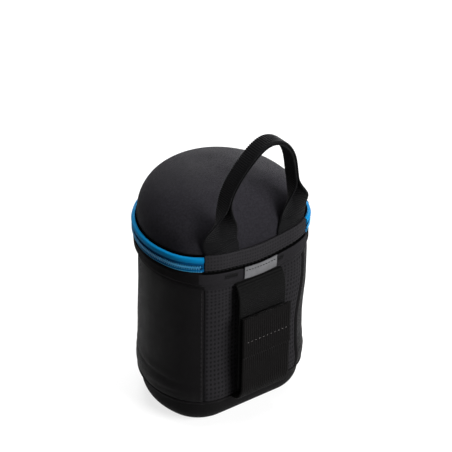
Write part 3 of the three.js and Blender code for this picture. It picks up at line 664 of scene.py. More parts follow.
def bowl(name, profile, shape):
    """A bowl whose profile runs from its outer floor up, over its rim and down to its inner floor."""
    s = lap()
    rings = [wall(s, off, z) for off, z in profile]
    lengths = around(profile, closed=False)
    reach = float(np.linalg.norm(rings[0] - MIDDLE, axis=1).mean())
    shares = np.arange(1, FLOOR_STEPS) / FLOOR_STEPS
    below = [towards_middle(rings[0], share) for share in shares]
    above = [towards_middle(rings[-1], share) for share in shares[::-1]]
    heights = np.concatenate([-reach * (1 - shares), lengths, lengths[-1] + reach * (1 - shares[::-1])])
    return stacked(name, shape(np.array(below + rings + above)), s, heights)


BASE_RADIUS = 14.0
BASE_INSET = 2.5
CUP_FLOOR = 5.0
BEND_CENTRE = LINER_INSIDE - (BASE_RADIUS - CUP_FLOOR - SEAM_GAP - LINING_WALL)
INNER_LEVEL = CUP_FLOOR + (CUP_INSIDE - BEND_CENTRE)


def outwards(grid):
    """Level directions away from the body's middle."""
    away = (grid - MIDDLE) * [1, 1, 0]
    return away / np.maximum(np.linalg.norm(away, axis=-1, keepdims=True), 1)


def cup_shape(grid):
    """Faint unevenness of foam pressed in a mould."""
    wobble = waves(grid, 34, 5) * 0.12 * smoothstep(grid[..., 2], 0.5, 8)
    return grid + outwards(grid) * wobble[..., None]


def liner_shape(grid):
    """Soft puckers of a glued lining."""
    inwards = (0.15 + waves(grid, 22, 9) * 0.16) * smoothstep(grid[..., 2], 10, 20)
    return grid - outwards(grid) * inwards[..., None]


cup_rim = rounded([
    (CUP_FACE, CUP_TOP - 2), (CUP_FACE, CUP_TOP), (CUP_INSIDE, CUP_TOP), (CUP_INSIDE, CUP_TOP - 2),
], 1.2, 2.0, False)
cup_profile = np.vstack([
    quarter(-BASE_INSET - BASE_RADIUS, BASE_RADIUS, BASE_RADIUS, 14),
    straight(CUP_FACE, 20, CUP_TOP - 4),
    cup_rim,
    straight(CUP_INSIDE, INNER_LEVEL + 2, CUP_TOP - 4)[::-1],
    quarter(BEND_CENTRE, INNER_LEVEL, CUP_INSIDE - BEND_CENTRE)[::-1],
])
dress(bowl("base_cup_moulded", cup_profile, cup_shape), FOAM, "pouch_body", "moulded_foam", "base_cup")

liner_profile = np.vstack([
    quarter(BEND_CENTRE, INNER_LEVEL, LINER_FACE - BEND_CENTRE),
    straight(LINER_FACE, INNER_LEVEL + 3, CUP_TOP),
    straight(LINER_INSIDE, INNER_LEVEL + 3, CUP_TOP)[::-1],
    quarter(BEND_CENTRE, INNER_LEVEL, LINER_INSIDE - BEND_CENTRE)[::-1],
])
dress(bowl("body_lining", liner_profile, liner_shape), LINER, "pouch_body", "lining", "body_liner")


def make_pad():
    """Loose floor pad: crowned, with a rolled edge and a sewn channel just inside it."""
    radius = LINER_INSIDE - BEND_CENTRE
    foot = INNER_LEVEL - radius + SEAM_GAP
    edge = BEND_CENTRE + math.sqrt(radius**2 - (radius - 3.0) ** 2) - 1.0
    s = lap(2.6)
    outline = wall(s, edge, foot)
    foot_line = wall(s, BEND_CENTRE + 1.2, foot)
    rings, heights = [], []
    shares = np.linspace(0.08, 1.0, 14)
    for share in shares:
        rings.append(towards_middle(foot_line, share))
        heights.append(-share * 40)
    for k in range(1, 8):
        turn = math.pi * k / 8
        ring = foot_line + (outline - foot_line) * math.sin(turn)
        ring[:, 2] = foot + 1.9 * (1 - math.cos(turn))
        rings.append(ring)
        heights.append(k)
    for share in shares[::-1]:
        ring = towards_middle(foot_line, share)
        crown = 3.8 + 1.3 * (1 - share**2) - 1.1 * ridge(share, 0.9, 0.03)
        ring[:, 2] = foot + crown + waves(ring, 26, 14) * 0.18 * (1 - share**4)
        rings.append(ring)
        heights.append(10 + (1 - share) * 40)
    pad = stacked("floor_pad", np.array(rings), s, heights)
    dress(pad, LINER, "pouch_body", "pad_lining", "bottom_pad")


make_pad()

# Sleeve

# The seam between sleeve and rim band runs lower behind, as sewn
SEAM_DIP_FRONT = 1.0
SEAM_DIP_BACK = 4.4
DIP_START = 95.0

# The sleeve's low roll, as pairs of height and share of its depth, and creases pressed into it, each
# as middle, half length, level, tilt, depth and width
ROLL_HEIGHT = 8.3
ROLL_DEPTH = 1.4
ROLL_SHARES = [
    (-0.4, 0.0), (0, 0.3), (0.5, 0.85), (1, 1.05), (1.4, 0.8), (1.8, 0.52), (2.66, 0.15), (3.65, 0),
]
CREASES = [
    (70, 62, 37.0, -0.035, 0.75, 2.0),
    (58, 40, 31.5, 0.05, 0.35, 1.6),
    (-78, 58, 36.5, 0.03, 0.7, 2.0),
    (-40, 34, 42.0, -0.05, 0.4, 1.8),
    (6, 44, 36.0, 0.02, 0.6, 2.2),
    (104, 20, 27.5, 0.06, 0.35, 1.4),
    (-112, 18, 28.5, -0.06, 0.35, 1.4),
    (36, 24, 45.0, -0.08, 0.3, 2.2),
]
PIT_DEPTH = 0.24
SEAM_DEPTH = 0.9

# Where the cloth stands off the shell, and where it is drawn in
LEAN_OUT_AT = -119.7
LEAN_OUT = 1.9
LEAN_IN_AT = 54.0
LEAN_IN = 0.7
LEAN_LEVELS = (58, 92, 112, 127)
WANDER = 5.0
WANDER_LEVELS = (62, 104)


def dipped(s, z):
    """How much lower a level of the sleeve or rim band lies for the run of the seam."""
    dip = SEAM_DIP_FRONT + (SEAM_DIP_BACK - SEAM_DIP_FRONT) * smoothstep(from_front(s), SEAM - 14, SEAM + 4)
    below = smoothstep(z, DIP_START, SLEEVE_TOP)
    above = np.clip((RIM_TOP - z) / (RIM_TOP - SLEEVE_TOP), 0, 1)
    return -dip * np.minimum(below, above)


def roll_out(z):
    up_by = (np.asarray(z, float) - SLEEVE_FOOT) / ROLL_HEIGHT
    heights, shares = zip(*ROLL_SHARES)
    soft = sum(np.interp(up_by + shift, heights, shares) / 5 for shift in (-0.22, -0.11, 0, 0.11, 0.22))
    return ROLL_DEPTH * soft


def lean(s, z):
    """The cloth stands off a little on the -X side and is drawn in on the other, below the rim."""
    s, z = spread(s, z)
    foot, full, fading, top = LEAN_LEVELS
    level = smoothstep(z, foot, full) * (1 - smoothstep(z, fading, top))
    stood_off = LEAN_OUT * ridge(beside(s, LEAN_OUT_AT), 0, 24)
    drawn_in = LEAN_IN * ridge(beside(s, LEAN_IN_AT), 0, 30)
    return level * (stood_off - drawn_in)


def wander(s, z):
    """Shift along s that takes the low part of the seam on the -X side nearer the back's middle."""
    s, z = spread(s, z)
    return -WANDER * (1 - smoothstep(z, *WANDER_LEVELS)) * ridge(beside(s, -SEAM), 0, 14)


def sleeve_offset(s, z):
    """Face of the sleeve: the roll, its creases, the side seams and the wall's faint unevenness."""
    s, z = spread(s, z)
    out = SLEEVE_FACE + roll_out(z)
    for middle, half, level, tilt, depth, width in CREASES:
        line = level + tilt * (s - middle)
        ends = np.clip(1 - ((s - middle) / half) ** 2, 0, 1)
        out = out - depth * ends * ridge(z, line, width)
        out = out + 0.35 * depth * ends * ridge(z, line + 2.2 * width, 1.6 * width)
    base = wall(s, 0, z)
    out = out + 0.22 * waves(base * [1, 1, 0.6], 46, 3) + 0.07 * waves(base, 13, 4)
    wrapped = from_front(s)
    out = out - SEAM_DEPTH * ridge(wrapped, SEAM, 0.9) + 0.3 * ridge(wrapped, SEAM - 2.2, 1.3)
    ends_in = 0.25 * smoothstep(z, 112, 116.7) + 0.2 * (1 - smoothstep(z, SLEEVE_FOOT, SLEEVE_FOOT + 1.4))
    return out + lean(s, z) - ends_in


def make_sleeve(name, low, high, pits=None):
    if pits:
        z = span(SLEEVE_FOOT, SLEEVE_TOP - SEAM_GAP, pits[1] / 6)
        s = span(low, high, pits[0] / 5)
    else:
        z = np.concatenate([span(SLEEVE_FOOT, 50, 1.2), span(52.4, SLEEVE_TOP - SEAM_GAP, 2.4)])
        edge = np.array([0.4, 0.9, 1.5])
        s = np.unique(np.concatenate([span(low, high, 2.0), low + edge, high - edge]))
    face = sleeve_offset(s[:, None], z[None, :])
    if pits:
        face = face - PIT_DEPTH * pressed(s[:, None], z[None, :], pits)
    stood_off = roll_out(z)[None, :] * 0.7 + 0.1 + np.maximum(lean(s[:, None], z[None, :]), 0)
    back = np.minimum(face - SLEEVE_WALL * 0.8, SLEEVE_FACE - SLEEVE_WALL + stood_off)
    back = np.maximum(back, CUP_FACE + 0.25)
    off = np.concatenate([face, back[:, ::-1]], 1)
    level = np.concatenate([z, z[::-1]])[None, :]
    grid = wall(s[:, None] + wander(s[:, None], level), off, level + dipped(s[:, None], level))
    return lattice(name, grid, s, out_and_back(z, 1.3))


wrap = make_sleeve("front_wrap_cloth", -SEAM + SEAM_GAP / 2, SEAM - SEAM_GAP / 2)
dress(wrap, WRAP, "pouch_body", "wrap_fabric", "front_wrap")
panel = make_sleeve("back_panel_cloth", SEAM + SEAM_GAP / 2, LAP - SEAM - SEAM_GAP / 2, PANEL_PITS)
dress(panel, PANEL, "pouch_body", "panel_fabric", "back_panel")

# Piping under the sleeve
hem_back = SLEEVE_FACE - SLEEVE_WALL
hem_face = SLEEVE_FACE + 0.6
hem_radius = HEM_HEIGHT / 2
turns = np.linspace(-math.pi / 2, math.pi / 2, 9)
hem_round = np.stack([
    hem_face - hem_radius + hem_radius * np.cos(turns),
    HEM_LEVEL + hem_radius + hem_radius * np.sin(turns),
], 1)
hem_section = np.vstack([[(hem_back, HEM_LEVEL)], hem_round, [(hem_back, HEM_LEVEL + HEM_HEIGHT)]])


def rope(s, off, z):
    """The twist of the cord inside the piping."""
    return 0.05 * np.sin(TAU * s / 2.4) * (off > hem_back + 0.2), 0 * z


dress(swept("hem_piping", hem_section, lap(1.1), True, rope), PIPING, "pouch_body", "piping", "hem_binding")

# Rim band

RIM_KNEE = 4.0
RIM_CHANNEL = 119.0
# Height of the painted shadow strip at the top of the rim, behind
PAINTED_SHADOW_WIDTH = 1.7


def rim_face(z):
    """The band flares to its knee, and more gently above it."""
    rise = np.minimum(1, (z - SLEEVE_TOP) / RIM_KNEE)
    slope = np.maximum(0, (z - SLEEVE_TOP - RIM_KNEE) / (RIM_TOP - SLEEVE_TOP - RIM_KNEE))
    foot = SLEEVE_FACE + SEAM_GAP
    low = foot + (RIM_FLARE - foot) * 0.8 * rise
    return low + (RIM_FLARE - low) * slope


def rim_dressed(s, z):
    """The same face with a sewn channel near its foot and a soft edge tucked in at its top."""
    s, z = spread(s, z)
    sewn = -0.5 * ridge(z, RIM_CHANNEL, 0.6)
    behind = smoothstep(from_front(s), ZIP_END - 4, ZIP_END + 1)
    tucked = -1.3 * smoothstep(z, RIM_TOP - 2.0, RIM_TOP - 0.8)
    tucked = tucked - 0.9 * behind * smoothstep(z, RIM_TOP - 1.5, RIM_TOP - 0.6)
    uneven = 0.12 * waves(wall(s, 0, z), 19, 6) + 0.1
    return rim_face(z) + sewn + tucked + uneven + np.maximum(lean(s, z), 0) * 0.6


rim_z = span(SLEEVE_TOP, RIM_TOP, 0.4)
rim_face_line = np.stack([rim_face(rim_z), rim_z], 1)
rim_section = np.vstack([[(hem_back, SLEEVE_TOP)], rim_face_line, [(hem_back, RIM_TOP)]])


def rim_shape(s, off, z):
    outside = off > hem_back + 0.2
    return np.where(outside, rim_dressed(s, z) - rim_face(z), 0), dipped(s, z)


rim = dress(swept("rim_band_cloth", rim_section, lap(1.8), True, rim_shape), RIM_SHADED_FRONT, "pouch_body", "rim_fabric",
            "rim_band")

# Behind, from side seam to side seam, the rim takes a lighter, lit copy of its cloth, while the front keeps
# a darker copy as painted shade under the zip's welt; a near-black strip under the hinge band is painted
# shadow in the seam's groove
rim.data.materials.append(RIM_LIT_BEHIND)
rim.data.materials.append(PAINTED_SHADOW_BLACK)
seam_y = station(np.array([SEAM]))[1][0]
for poly in rim.data.polygons:
    if poly.center.y > seam_y * MM:
        foot = min(k % len(rim_section) for k in poly.vertices)
        poly.material_index = 2 if rim_section[foot, 1] > RIM_TOP - PAINTED_SHADOW_WIDTH else 1

binding_low = upright(LINER_INSIDE, -SEAM_GAP, CUP_TOP + SEAM_GAP, BINDING_TOP, 0.5)
dress(swept("rim_edge_binding", binding_low, lap(1.4), True), EDGE, "pouch_body", "binding", "rim_binding")

# Zip

LOWER_TAPE_FOOT = RIM_TOP + SEAM_GAP
tape_low = upright(TAPE_BACK, TAPE_FACE, LOWER_TAPE_FOOT, BINDING_TOP, 0.35, 0.6)
zip_s = span(-ZIP_END + SEAM_GAP, ZIP_END - SEAM_GAP, 1.6)
dress(swept("zip_tape_lower", tape_low, zip_s), TAPE, "pouch_body", "zip_tape", "lower_zip_tape")

WELT_FOOT = BAND_TOP - 5.0
WELT_TOP = WELT_FOOT + 3.9
WELT_BULGE = 1.75
turns = np.linspace(-0.5 * math.pi, 0.5 * math.pi, 15)
welt_round = np.stack([
    TAPE_FACE - 0.3 + WELT_BULGE * np.cos(turns) ** 0.45,
    (WELT_FOOT + WELT_TOP) / 2 + (WELT_TOP - WELT_FOOT) / 2 * np.sin(turns),
], 1)
tape_up = np.vstack([
    [(TAPE_BACK, LID_FOOT), (TAPE_FACE - 0.3, LID_FOOT), (TAPE_FACE, LID_FOOT + 0.3)],
    np.stack([np.full(5, TAPE_FACE), np.linspace(LID_FOOT + 0.9, WELT_FOOT - 0.5, 5)], 1),
    welt_round,
    [(TAPE_BACK, WELT_TOP - 0.5)],
])


def welt_shape(s, off, z):
    soft = smoothstep(z, WELT_FOOT, WELT_FOOT + 1.5) * (off > TAPE_BACK + 0.3)
    return 0.10 * waves(wall(s, off, z), 15, 8) * soft, 0 * z


zip_upper = dress(swept("zip_welt_upper", tape_up, zip_s, False, welt_shape, 50), WELT, "lid", "zip_tape",
                  "upper_zip_tape")

# The flat part of the upper tape is the darker cloth of the tape itself
zip_upper.data.materials.append(TAPE)
for poly in zip_upper.data.polygons:
    if poly.center.z < (WELT_FOOT - 0.2) * MM:
        poly.material_index = 1

COIL_PITCH = 1.5
COIL_LEVEL = PARTING_LEVEL + 1.0
COIL_HALF_WIDTH = 1.45
COIL_MARGIN = 1.2
CORD_FROM_COIL = 1.15
TOOTH_SIDES = 8

# A tooth's half width at shares of its length
TOOTH = [(0.0, 0.16), (0.06, 0.27), (0.3, 0.29), (0.62, 0.27), (0.82, 0.33), (0.95, 0.31), (1.0, 0.16)]


def tooth(s, upper):
    """One coil tooth: a flattened rod from the coil's outer edge to a swollen tip."""
    side = 1 if upper else -1
    far = COIL_LEVEL + side * COIL_HALF_WIDTH
    tip = COIL_LEVEL - side * 0.2
    points, uvs = [], []
    for share, size in TOOTH:
        for k in range(TOOTH_SIDES):
            turn = TAU * k / TOOTH_SIDES
            off = TAPE_FACE + 0.75 + 0.6 * math.sin(turn) * (0.75 + 0.25 * size / 0.36)
            points.append((s + size * math.cos(turn), off, far + (tip - far) * share))
            uvs.append((share * 3, k))
    faces = tube_faces(len(TOOTH), TOOTH_SIDES)
    faces.append(list(range(TOOTH_SIDES))[::-1])
    faces.append([(len(TOOTH) - 1) * TOOTH_SIDES + k for k in range(TOOTH_SIDES)])
    placed = wall(*np.array(points).T)
    return placed, faces if upper else [f[::-1] for f in faces], uvs


def make_coil(name, upper):
    count = int(2 * (ZIP_END - COIL_MARGIN) / COIL_PITCH)
    shift = 0.5 if upper else 0.0
    return joined(name, [tooth((k + shift - count / 2) * COIL_PITCH, upper) for k in range(count)])


dress(make_coil("zip_coil_lower", False), COIL, "pouch_body", "zip_coil", "lower_zip_coil")
dress(make_coil("zip_coil_upper", True), COIL, "lid", "zip_coil", "upper_zip_coil")

# The cord that runs inside each coil
cord_s = span(-ZIP_END + COIL_MARGIN, ZIP_END - COIL_MARGIN, 1.6)
for name, side, body in (("lower", -1, "pouch_body"), ("upper", 1, "lid")):
    cord = oval(TAPE_FACE + 0.46, COIL_LEVEL + side * CORD_FROM_COIL, 0.42, 0.45, 8)
    dress(swept(f"zip_cord_{name}", cord, cord_s), ZIP_CORD, body, "zip_coil")

thread_run = 2 * (ZIP_END - 1.0)
sew("zip_thread_upper", on_wall(TAPE_FACE + 0.1, PARTING_LEVEL + 3.5, -ZIP_END + 1), thread_run,
    1.2, 0.3, 0.16, TAPE, "lid", "zip_coil")
sew("zip_thread_lower", on_wall(TAPE_FACE + 0.1, LOWER_TAPE_FOOT + 0.2, -ZIP_END + 1), thread_run,
    1.1, 0.4, 0.28, THREAD_BLUE, "pouch_body", "zip_coil")

# Hinge band


def band_out(z):
    """The band bows out a little between its two seams."""
    middle = (LOWER_TAPE_FOOT + BAND_TOP) / 2
    half = (BAND_TOP - LOWER_TAPE_FOOT) / 2
    return HINGE_FACE + 0.4 * (1 - ((z - middle) / half) ** 4)


band_z = span(LOWER_TAPE_FOOT, BAND_TOP - 0.6, HINGE_PITS[1] / 6)
band_back_z = span(LOWER_TAPE_FOOT, BAND_TOP - 1.0, 1.2)[::-1]
band_section = np.vstack([
    np.stack([band_out(band_z) - 0.1, band_z], 1),
    [(HINGE_FACE - 0.35, BAND_TOP - 0.1), (HINGE_FACE - 1.0, BAND_TOP), (TAPE_BACK + 0.2, BAND_TOP - 0.3)],
    np.stack([np.full(len(band_back_z), TAPE_BACK), band_back_z], 1),
])


def band_shape(s, off, z):
    outside = off > HINGE_FACE - 0.6
    pucker = 0.10 * waves(wall(s, 0, z) * [1, 1, 2], 12, 11) + 0.12 * waves(wall(s, 0, z), 30, 12)
    fold = -0.21 * ridge(z, PARTING_LEVEL + 0.3, 0.9)
    rolled = -1.4 * (1 - smoothstep(z, LOWER_TAPE_FOOT, LOWER_TAPE_FOOT + 1.1))
    pit = -0.16 * pressed(s, z - LOWER_TAPE_FOOT, HINGE_PITS)
    return np.where(outside, pucker + fold + rolled + pit, 0), 0 * z


band_s = span(ZIP_END + SEAM_GAP, LAP - ZIP_END - SEAM_GAP, HINGE_PITS[0] / 5)
band = dress(swept("hinge_band_cloth", band_section, band_s, False, band_shape), HINGE, None, "hinge_fabric",
             "hinge_band_lower", "hinge_band_upper")
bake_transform(band)

# Label

LABEL_WIDTH = 26.7
LABEL_HEIGHT = 9.0
LABEL_ROW = 6.3
LABEL_FOOT = SLEEVE_TOP + 1.2
LABEL_FROM = HALF_LAP - LABEL_WIDTH / 2 + 0.75


def rim_behind(z):
    """Face of the rim band under the label, where its foot is at its lowest."""
    stretch = 1 + SEAM_DIP_BACK / (RIM_TOP - SLEEVE_TOP)
    return rim_face(RIM_TOP - (RIM_TOP - z) / stretch)


def label_face(s, z):
    bow = 0.18 * np.sin((z - LABEL_FOOT) / LABEL_HEIGHT * math.pi)
    row = -0.22 * ridge(z, LABEL_FOOT + LABEL_ROW, 0.55)
    return rim_behind(z) + SEAM_GAP + 0.8 + bow + row + 0.08 * waves(wall(s, 0, z), 9, 21)


def make_label():
    z = span(LABEL_FOOT, LABEL_FOOT + LABEL_HEIGHT, 0.75)
    s = span(LABEL_FROM, LABEL_FROM + LABEL_WIDTH, 0.9)
    face = label_face(s[:, None], z[None, :])
    back = np.repeat((rim_behind(z) + SEAM_GAP + 0.12)[None, ::-1], len(s), 0)
    level = np.concatenate([z, z[::-1]])[None, :]
    grid = wall(s[:, None], np.concatenate([face, back], 1), level)
    return lattice("label_plate", grid, s, out_and_back(z, 0.8))


dress(make_label(), LABEL, "pouch_body", "label", "label_tab")
sew("label_stitches", on_wall(label_face, LABEL_FOOT + LABEL_ROW, LABEL_FROM + 0.6), LABEL_WIDTH - 0.9,
    1.4, 0.9, 0.3, THREAD_BLACK, "pouch_body", "label")

# Bar tacks and seams

TACK_LEVELS = (122.6, 125.6)
TACK_PITCH = 0.62


def make_bartack(name, s_from, s_to):
    """A zigzag of thread on the rim band."""
    parts = []
    for k in range(int((s_to - s_from) / TACK_PITCH)):
        ends = []
        for at, z in zip((k, k + 1), TACK_LEVELS if k % 2 == 0 else TACK_LEVELS[::-1]):
            s = s_from + at * TACK_PITCH
            ends.append(wall(s, float(rim_dressed(s, z)) + 0.12, z + float(dipped(s, z))))
        normal = wall_normal(np.array([s_from + k * TACK_PITCH]))[0]
        parts.append(capsule(ends[0], ends[1], 0.26, normal, 0.8))
    dress(joined(name, parts), THREAD_BLACK, "pouch_body", "rim_fabric")


for side, (near, far) in {"left": (-15.5, -4.5), "right": (27.4, 33.5)}.items():
    make_bartack(f"bartack_{side}", LABEL_FROM + near, LABEL_FROM + far)

# The row under the hinge band, whose thick black thread is also painted shadow under the band's foot, the
# row at the rim's foot, and the two upright rows
sew("hinge_seam_stitches_painted_shadow", on_wall(rim_dressed, RIM_TOP - 0.7, ZIP_END, dipped), LAP - 2 * ZIP_END,
    2.4, 0.6, 0.45, THREAD_BLACK, "pouch_body", "hinge_fabric")
sew("rim_seam_stitches", on_wall(rim_dressed, RIM_CHANNEL, -HALF_LAP, dipped), LAP,
    2.0, 1.0, 0.26, THREAD_BLACK, "pouch_body", "rim_fabric")
# The upright rows are real stitches whose grey also stands for painted highlight on the seam's folded edge
for name, s in {"plus_x": SEAM - 1.9, "minus_x": LAP - SEAM + 1.9}.items():
    sew(f"side_seam_{name}", up_sleeve(s, SLEEVE_FOOT + 2), 90.0, 3.0, 0.8, 0.2, THREAD_GREY_HIGHLIGHT, "pouch_body",
        "wrap_fabric")

# Lid

DOME_CENTRE = -14.0
DOME_STEP = 2.0
DENTS_TOWARDS = np.array([0.0, DOME_CENTRE, 120.0])
DOME_TURNS = np.pi / 2 * (1 - (1 - np.arange(1, 37) / 37) ** 1.35)

# How square the dome draws in: most in front, least behind
DOME_POWER_FRONT = 2.75
DOME_POWER_BACK = 1.74


def dome_point(s, off, height, turn):
    x, y, nx, ny, sag = station(s)
    bx, by = x + nx * off, y + ny * off
    facing = np.arctan2(by - DOME_CENTRE, bx)
    power = DOME_POWER_FRONT + (DOME_POWER_BACK - DOME_POWER_FRONT) * (1 + np.sin(facing)) / 2
    draw = np.cos(turn) ** (2 / power)
    z = DOME_FOOT + height * np.sin(turn) ** (2 / 3)
    return np.stack([bx * draw, DOME_CENTRE + (by - DOME_CENTRE) * draw, z - drop(sag, z)], -1)


def dome_rings(off, top):
    s = lap(DOME_STEP)
    foot = [wall(s, off, z) for z in span(LID_SHELL_FOOT, DOME_FOOT, 1.2)]
    return foot + [dome_point(s, off, top - DOME_FOOT, t) for t in DOME_TURNS]


def polar(rings, apex):
    """Places on the cloth counted out from the top, so that its weave runs level over the dome."""
    grid = np.array(rings)
    closed = np.concatenate([grid, grid[:, :1]], 1)
    steps = np.diff(np.concatenate([closed, np.full((1, closed.shape[1], 3), apex)]), axis=0)
    arc = np.cumsum(np.linalg.norm(steps, axis=2)[::-1], 0)[::-1]
    away = closed[..., :2] - np.array(apex)[:2]
    away /= np.maximum(np.linalg.norm(away, axis=-1, keepdims=True), 1e-6)
    return away[..., 0] * arc, away[..., 1] * arc


def make_dome(name, off, top, thickness, dent):
    """A dome of two faces, with faint dents in its outer one."""
    outside = dome_rings(off, top)
    inside = dome_rings(off - thickness, top - thickness)
    apex = (0.0, DOME_CENTRE, top)
    u_out, v_out = polar(outside, apex)
    u_in, v_in = polar(inside, apex)
    shell = np.array(outside)
    inward = DENTS_TOWARDS - shell
    inward /= np.linalg.norm(inward, axis=-1, keepdims=True)
    shell = shell + inward * (dent * waves(shell, 38, 17) + 0.3 * dent)[..., None]
    grid = np.concatenate([shell[::-1], np.array(inside)])
    u = np.concatenate([u_out[::-1], u_in])
    v = np.concatenate([v_out[::-1], v_in])
    return lattice(name, grid, u, v, fan=True)


dress(make_dome("lid_dome", LID_FACE, LID_TOP, LID_WALL, 0.3), DOME, "lid", "dome_fabric", "lid_shell")

# A black cord fills the seam between the dome and the welt, as painted shadow under the dome's edge
dress(swept("welt_painted_shadow_cord", oval(LID_FACE + 0.45, WELT_TOP + 0.4, 0.8, 0.8, 12), zip_s), PAINTED_SHADOW_BLACK, "lid",
      "zip_tape")

lid_lining = make_dome("lid_lining", LID_LINING_FACE, LID_TOP - LID_WALL - SEAM_GAP, LINING_WALL, 0.15)
dress(lid_lining, LINER, "lid", "lining", "lid_liner")
binding_up = upright(LID_LINING_FACE - LINING_WALL, LID_FACE, LID_FOOT, LID_FOOT + BINDING, 0.5)
dress(swept("lid_edge_binding", binding_up, lap(1.4), True), EDGE, "lid", "binding", "lid_binding")

# Handle

WEBBING_WIDTH = 25.0
WEBBING_THICKNESS = 1.4
FOLD_LENGTH = 2.7
HANDLE_SPACING = 28.2
GRIP_HALF_SPAN = 30.4
HANDLE_FOOT = BAND_TOP + SEAM_GAP
SPRINGING = BAND_TOP + 9.3
CROWN = BAND_TOP + 77.9
FOLD_START = BAND_TOP + 5.3
FOLD_END = BAND_TOP + 39.3
NECK_PLANE = 33.9
NECK_START = BAND_TOP + 4.3
NECK_END = BAND_TOP + 29.3
CROWN_PLANE = 41.8
TILT_START = BAND_TOP + 37.3
RIB_PITCH = 1.5
RIB_DEPTH = 0.22


def past_corner(x):
    """How far a place across the back lies beyond the corner's centre."""
    return np.maximum(0.0, np.abs(x) - CORNER_X)


def back_face_at(x):
    return CORNER_Y + np.sqrt(CORNER_RADIUS**2 - past_corner(x) ** 2)


def back_sag_at(x):
    turned = CORNER_RADIUS * np.arcsin(past_corner(x) / CORNER_RADIUS)
    return BACK_SAG * sag_share(np.minimum(np.abs(x), CORNER_X) + turned)


def handle_path(steps_tab=40, steps_arch=300):
    """Middle of the handle in X and Z, from the +X tab over to the -X tab."""
    tab = []
    for i in range(steps_tab):
        share = i / steps_tab
        x = HANDLE_SPACING + (GRIP_HALF_SPAN - HANDLE_SPACING) * float(smoothstep(share, 0, 1))
        tab.append((x, HANDLE_FOOT + (SPRINGING - HANDLE_FOOT) * share))
    turns = np.linspace(0, math.pi, steps_arch + 1)
    arch = np.stack([GRIP_HALF_SPAN * np.cos(turns), SPRINGING + (CROWN - SPRINGING) * np.sin(turns)], 1)
    return np.array(tab + arch.tolist() + [(-x, z) for x, z in reversed(tab)])


def even(path, step):
    """The path again at even steps, the distances along it and its directions."""
    run = around(path, closed=False)
    at = np.linspace(0, run[-1], int(run[-1] / step) + 1)
    path = np.stack([np.interp(at, run, path[:, k]) for k in range(path.shape[1])], 1)
    ahead = np.gradient(path, axis=0)
    return path, at, ahead / np.linalg.norm(ahead, axis=1, keepdims=True)


def folded(fold, places):
    """The webbing's middle surface with both halves turned back: across, outwards and heading."""
    half_fold = FOLD_LENGTH / 2
    side = np.sign(places)
    curled = np.minimum(np.abs(places), half_fold)
    turned = curled / half_fold * fold
    beyond = np.abs(places) - curled
    round_part = half_fold / fold * np.sin(turned) if fold > 1e-6 else curled
    rise = half_fold / fold * (1 - np.cos(turned)) if fold > 1e-6 else 0 * curled
    return side * (round_part + beyond * np.cos(turned)), rise + beyond * np.sin(turned), side * turned


def web_half(place, half_width, thickness):
    """Half the thickness across a webbing: even, with rounded selvedges."""
    past = np.clip((np.abs(place) - (half_width - thickness / 2)) / (thickness / 2), 0, 1)
    return thickness / 2 * np.sqrt(np.maximum(1 - past**2, 0.04))


def both_faces(x, gap):
    """Places across a webbing's face and back again on its other side."""
    return np.concatenate([x, x[::-1] + gap, [x[0] + 2 * gap]])


def make_handle():
    path, run, ahead = even(handle_path(), RIB_PITCH / 5)
    half = WEBBING_WIDTH / 2
    near = np.linspace(-FOLD_LENGTH / 2, FOLD_LENGTH / 2, 9)
    far = np.linspace(FOLD_LENGTH / 2 + 1, half - 1.4, 10)
    edge = np.array([half - 0.7, half - 0.25, half])
    places = np.concatenate([-edge[::-1], -far[::-1], near, far, edge])
    body = web_half(places, half, WEBBING_THICKNESS)
    ribbed = np.abs(places) < half - 0.9
    grid = []
    for (x, z), (dx, dz), along in zip(path, ahead, run):
        loose = float(smoothstep(z, HANDLE_FOOT, HANDLE_FOOT + 5))
        out_x = dz * loose + math.copysign(1, x) * (1 - loose)
        out_z = -dx * loose
        size = math.hypot(out_x, out_z)
        out_x, out_z = out_x / size, out_z / size
        across, rise, heading = folded(math.pi / 2 * float(smoothstep(z, FOLD_START, FOLD_END)), places)
        free = float(smoothstep(z, NECK_START, NECK_END))
        tilt = (CROWN_PLANE - NECK_PLANE) * float(smoothstep(z, TILT_START, CROWN))
        weight = body + RIB_DEPTH * math.sin(TAU * along / RIB_PITCH) * ribbed
        ring = []
        for side in (-1, 1):
            off = across - side * weight * np.sin(heading)
            px = x + out_x * off
            resting = back_face_at(px) + WEBBING_THICKNESS / 2
            py = resting * (1 - free) + NECK_PLANE * free + tilt + rise + side * weight * np.cos(heading)
            pz = z + out_z * off - back_sag_at(px) * (1 - free)
            line = np.stack([px, py, pz], 1)
            ring.append(line if side < 0 else line[::-1])
        grid.append(np.vstack(ring))
    handle = lattice("handle_web", np.array(grid), run, both_faces(places, 40))
    dress(handle, WEB, None, "handle_webbing", "handle_webbing")
    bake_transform(handle)


make_handle()

# Belt strap and flap

STRAP_MIDDLE = 45.9
STRAP_TOP = SLEEVE_TOP - BACK_SAG - 2 * SEAM_GAP - 0.9
STRAP_TIP = 30.0
STRAP_WIDTH = 39.0
STRAP_ROOT = BACK_FACE + SLEEVE_FACE + SEAM_GAP
FLAP_MIDDLE = 51.0
FLAP_TOP = 89.5
FLAP_WIDTH = 40.0
FLAP_ROOT = BACK_FACE + SLEEVE_FACE + 0.9
FLAP_FOOT = 20.9
FLAP_TURN = 34.9
FLAP_OUTSIDE = 52.2
FLAP_HEM = 58.0
FLAP_ROW = 70.4
FLAP_ROW_HALF = 17.6
BELT_WEB = 1.6
BELT_RIB = 1.7
LEAD = 0.9


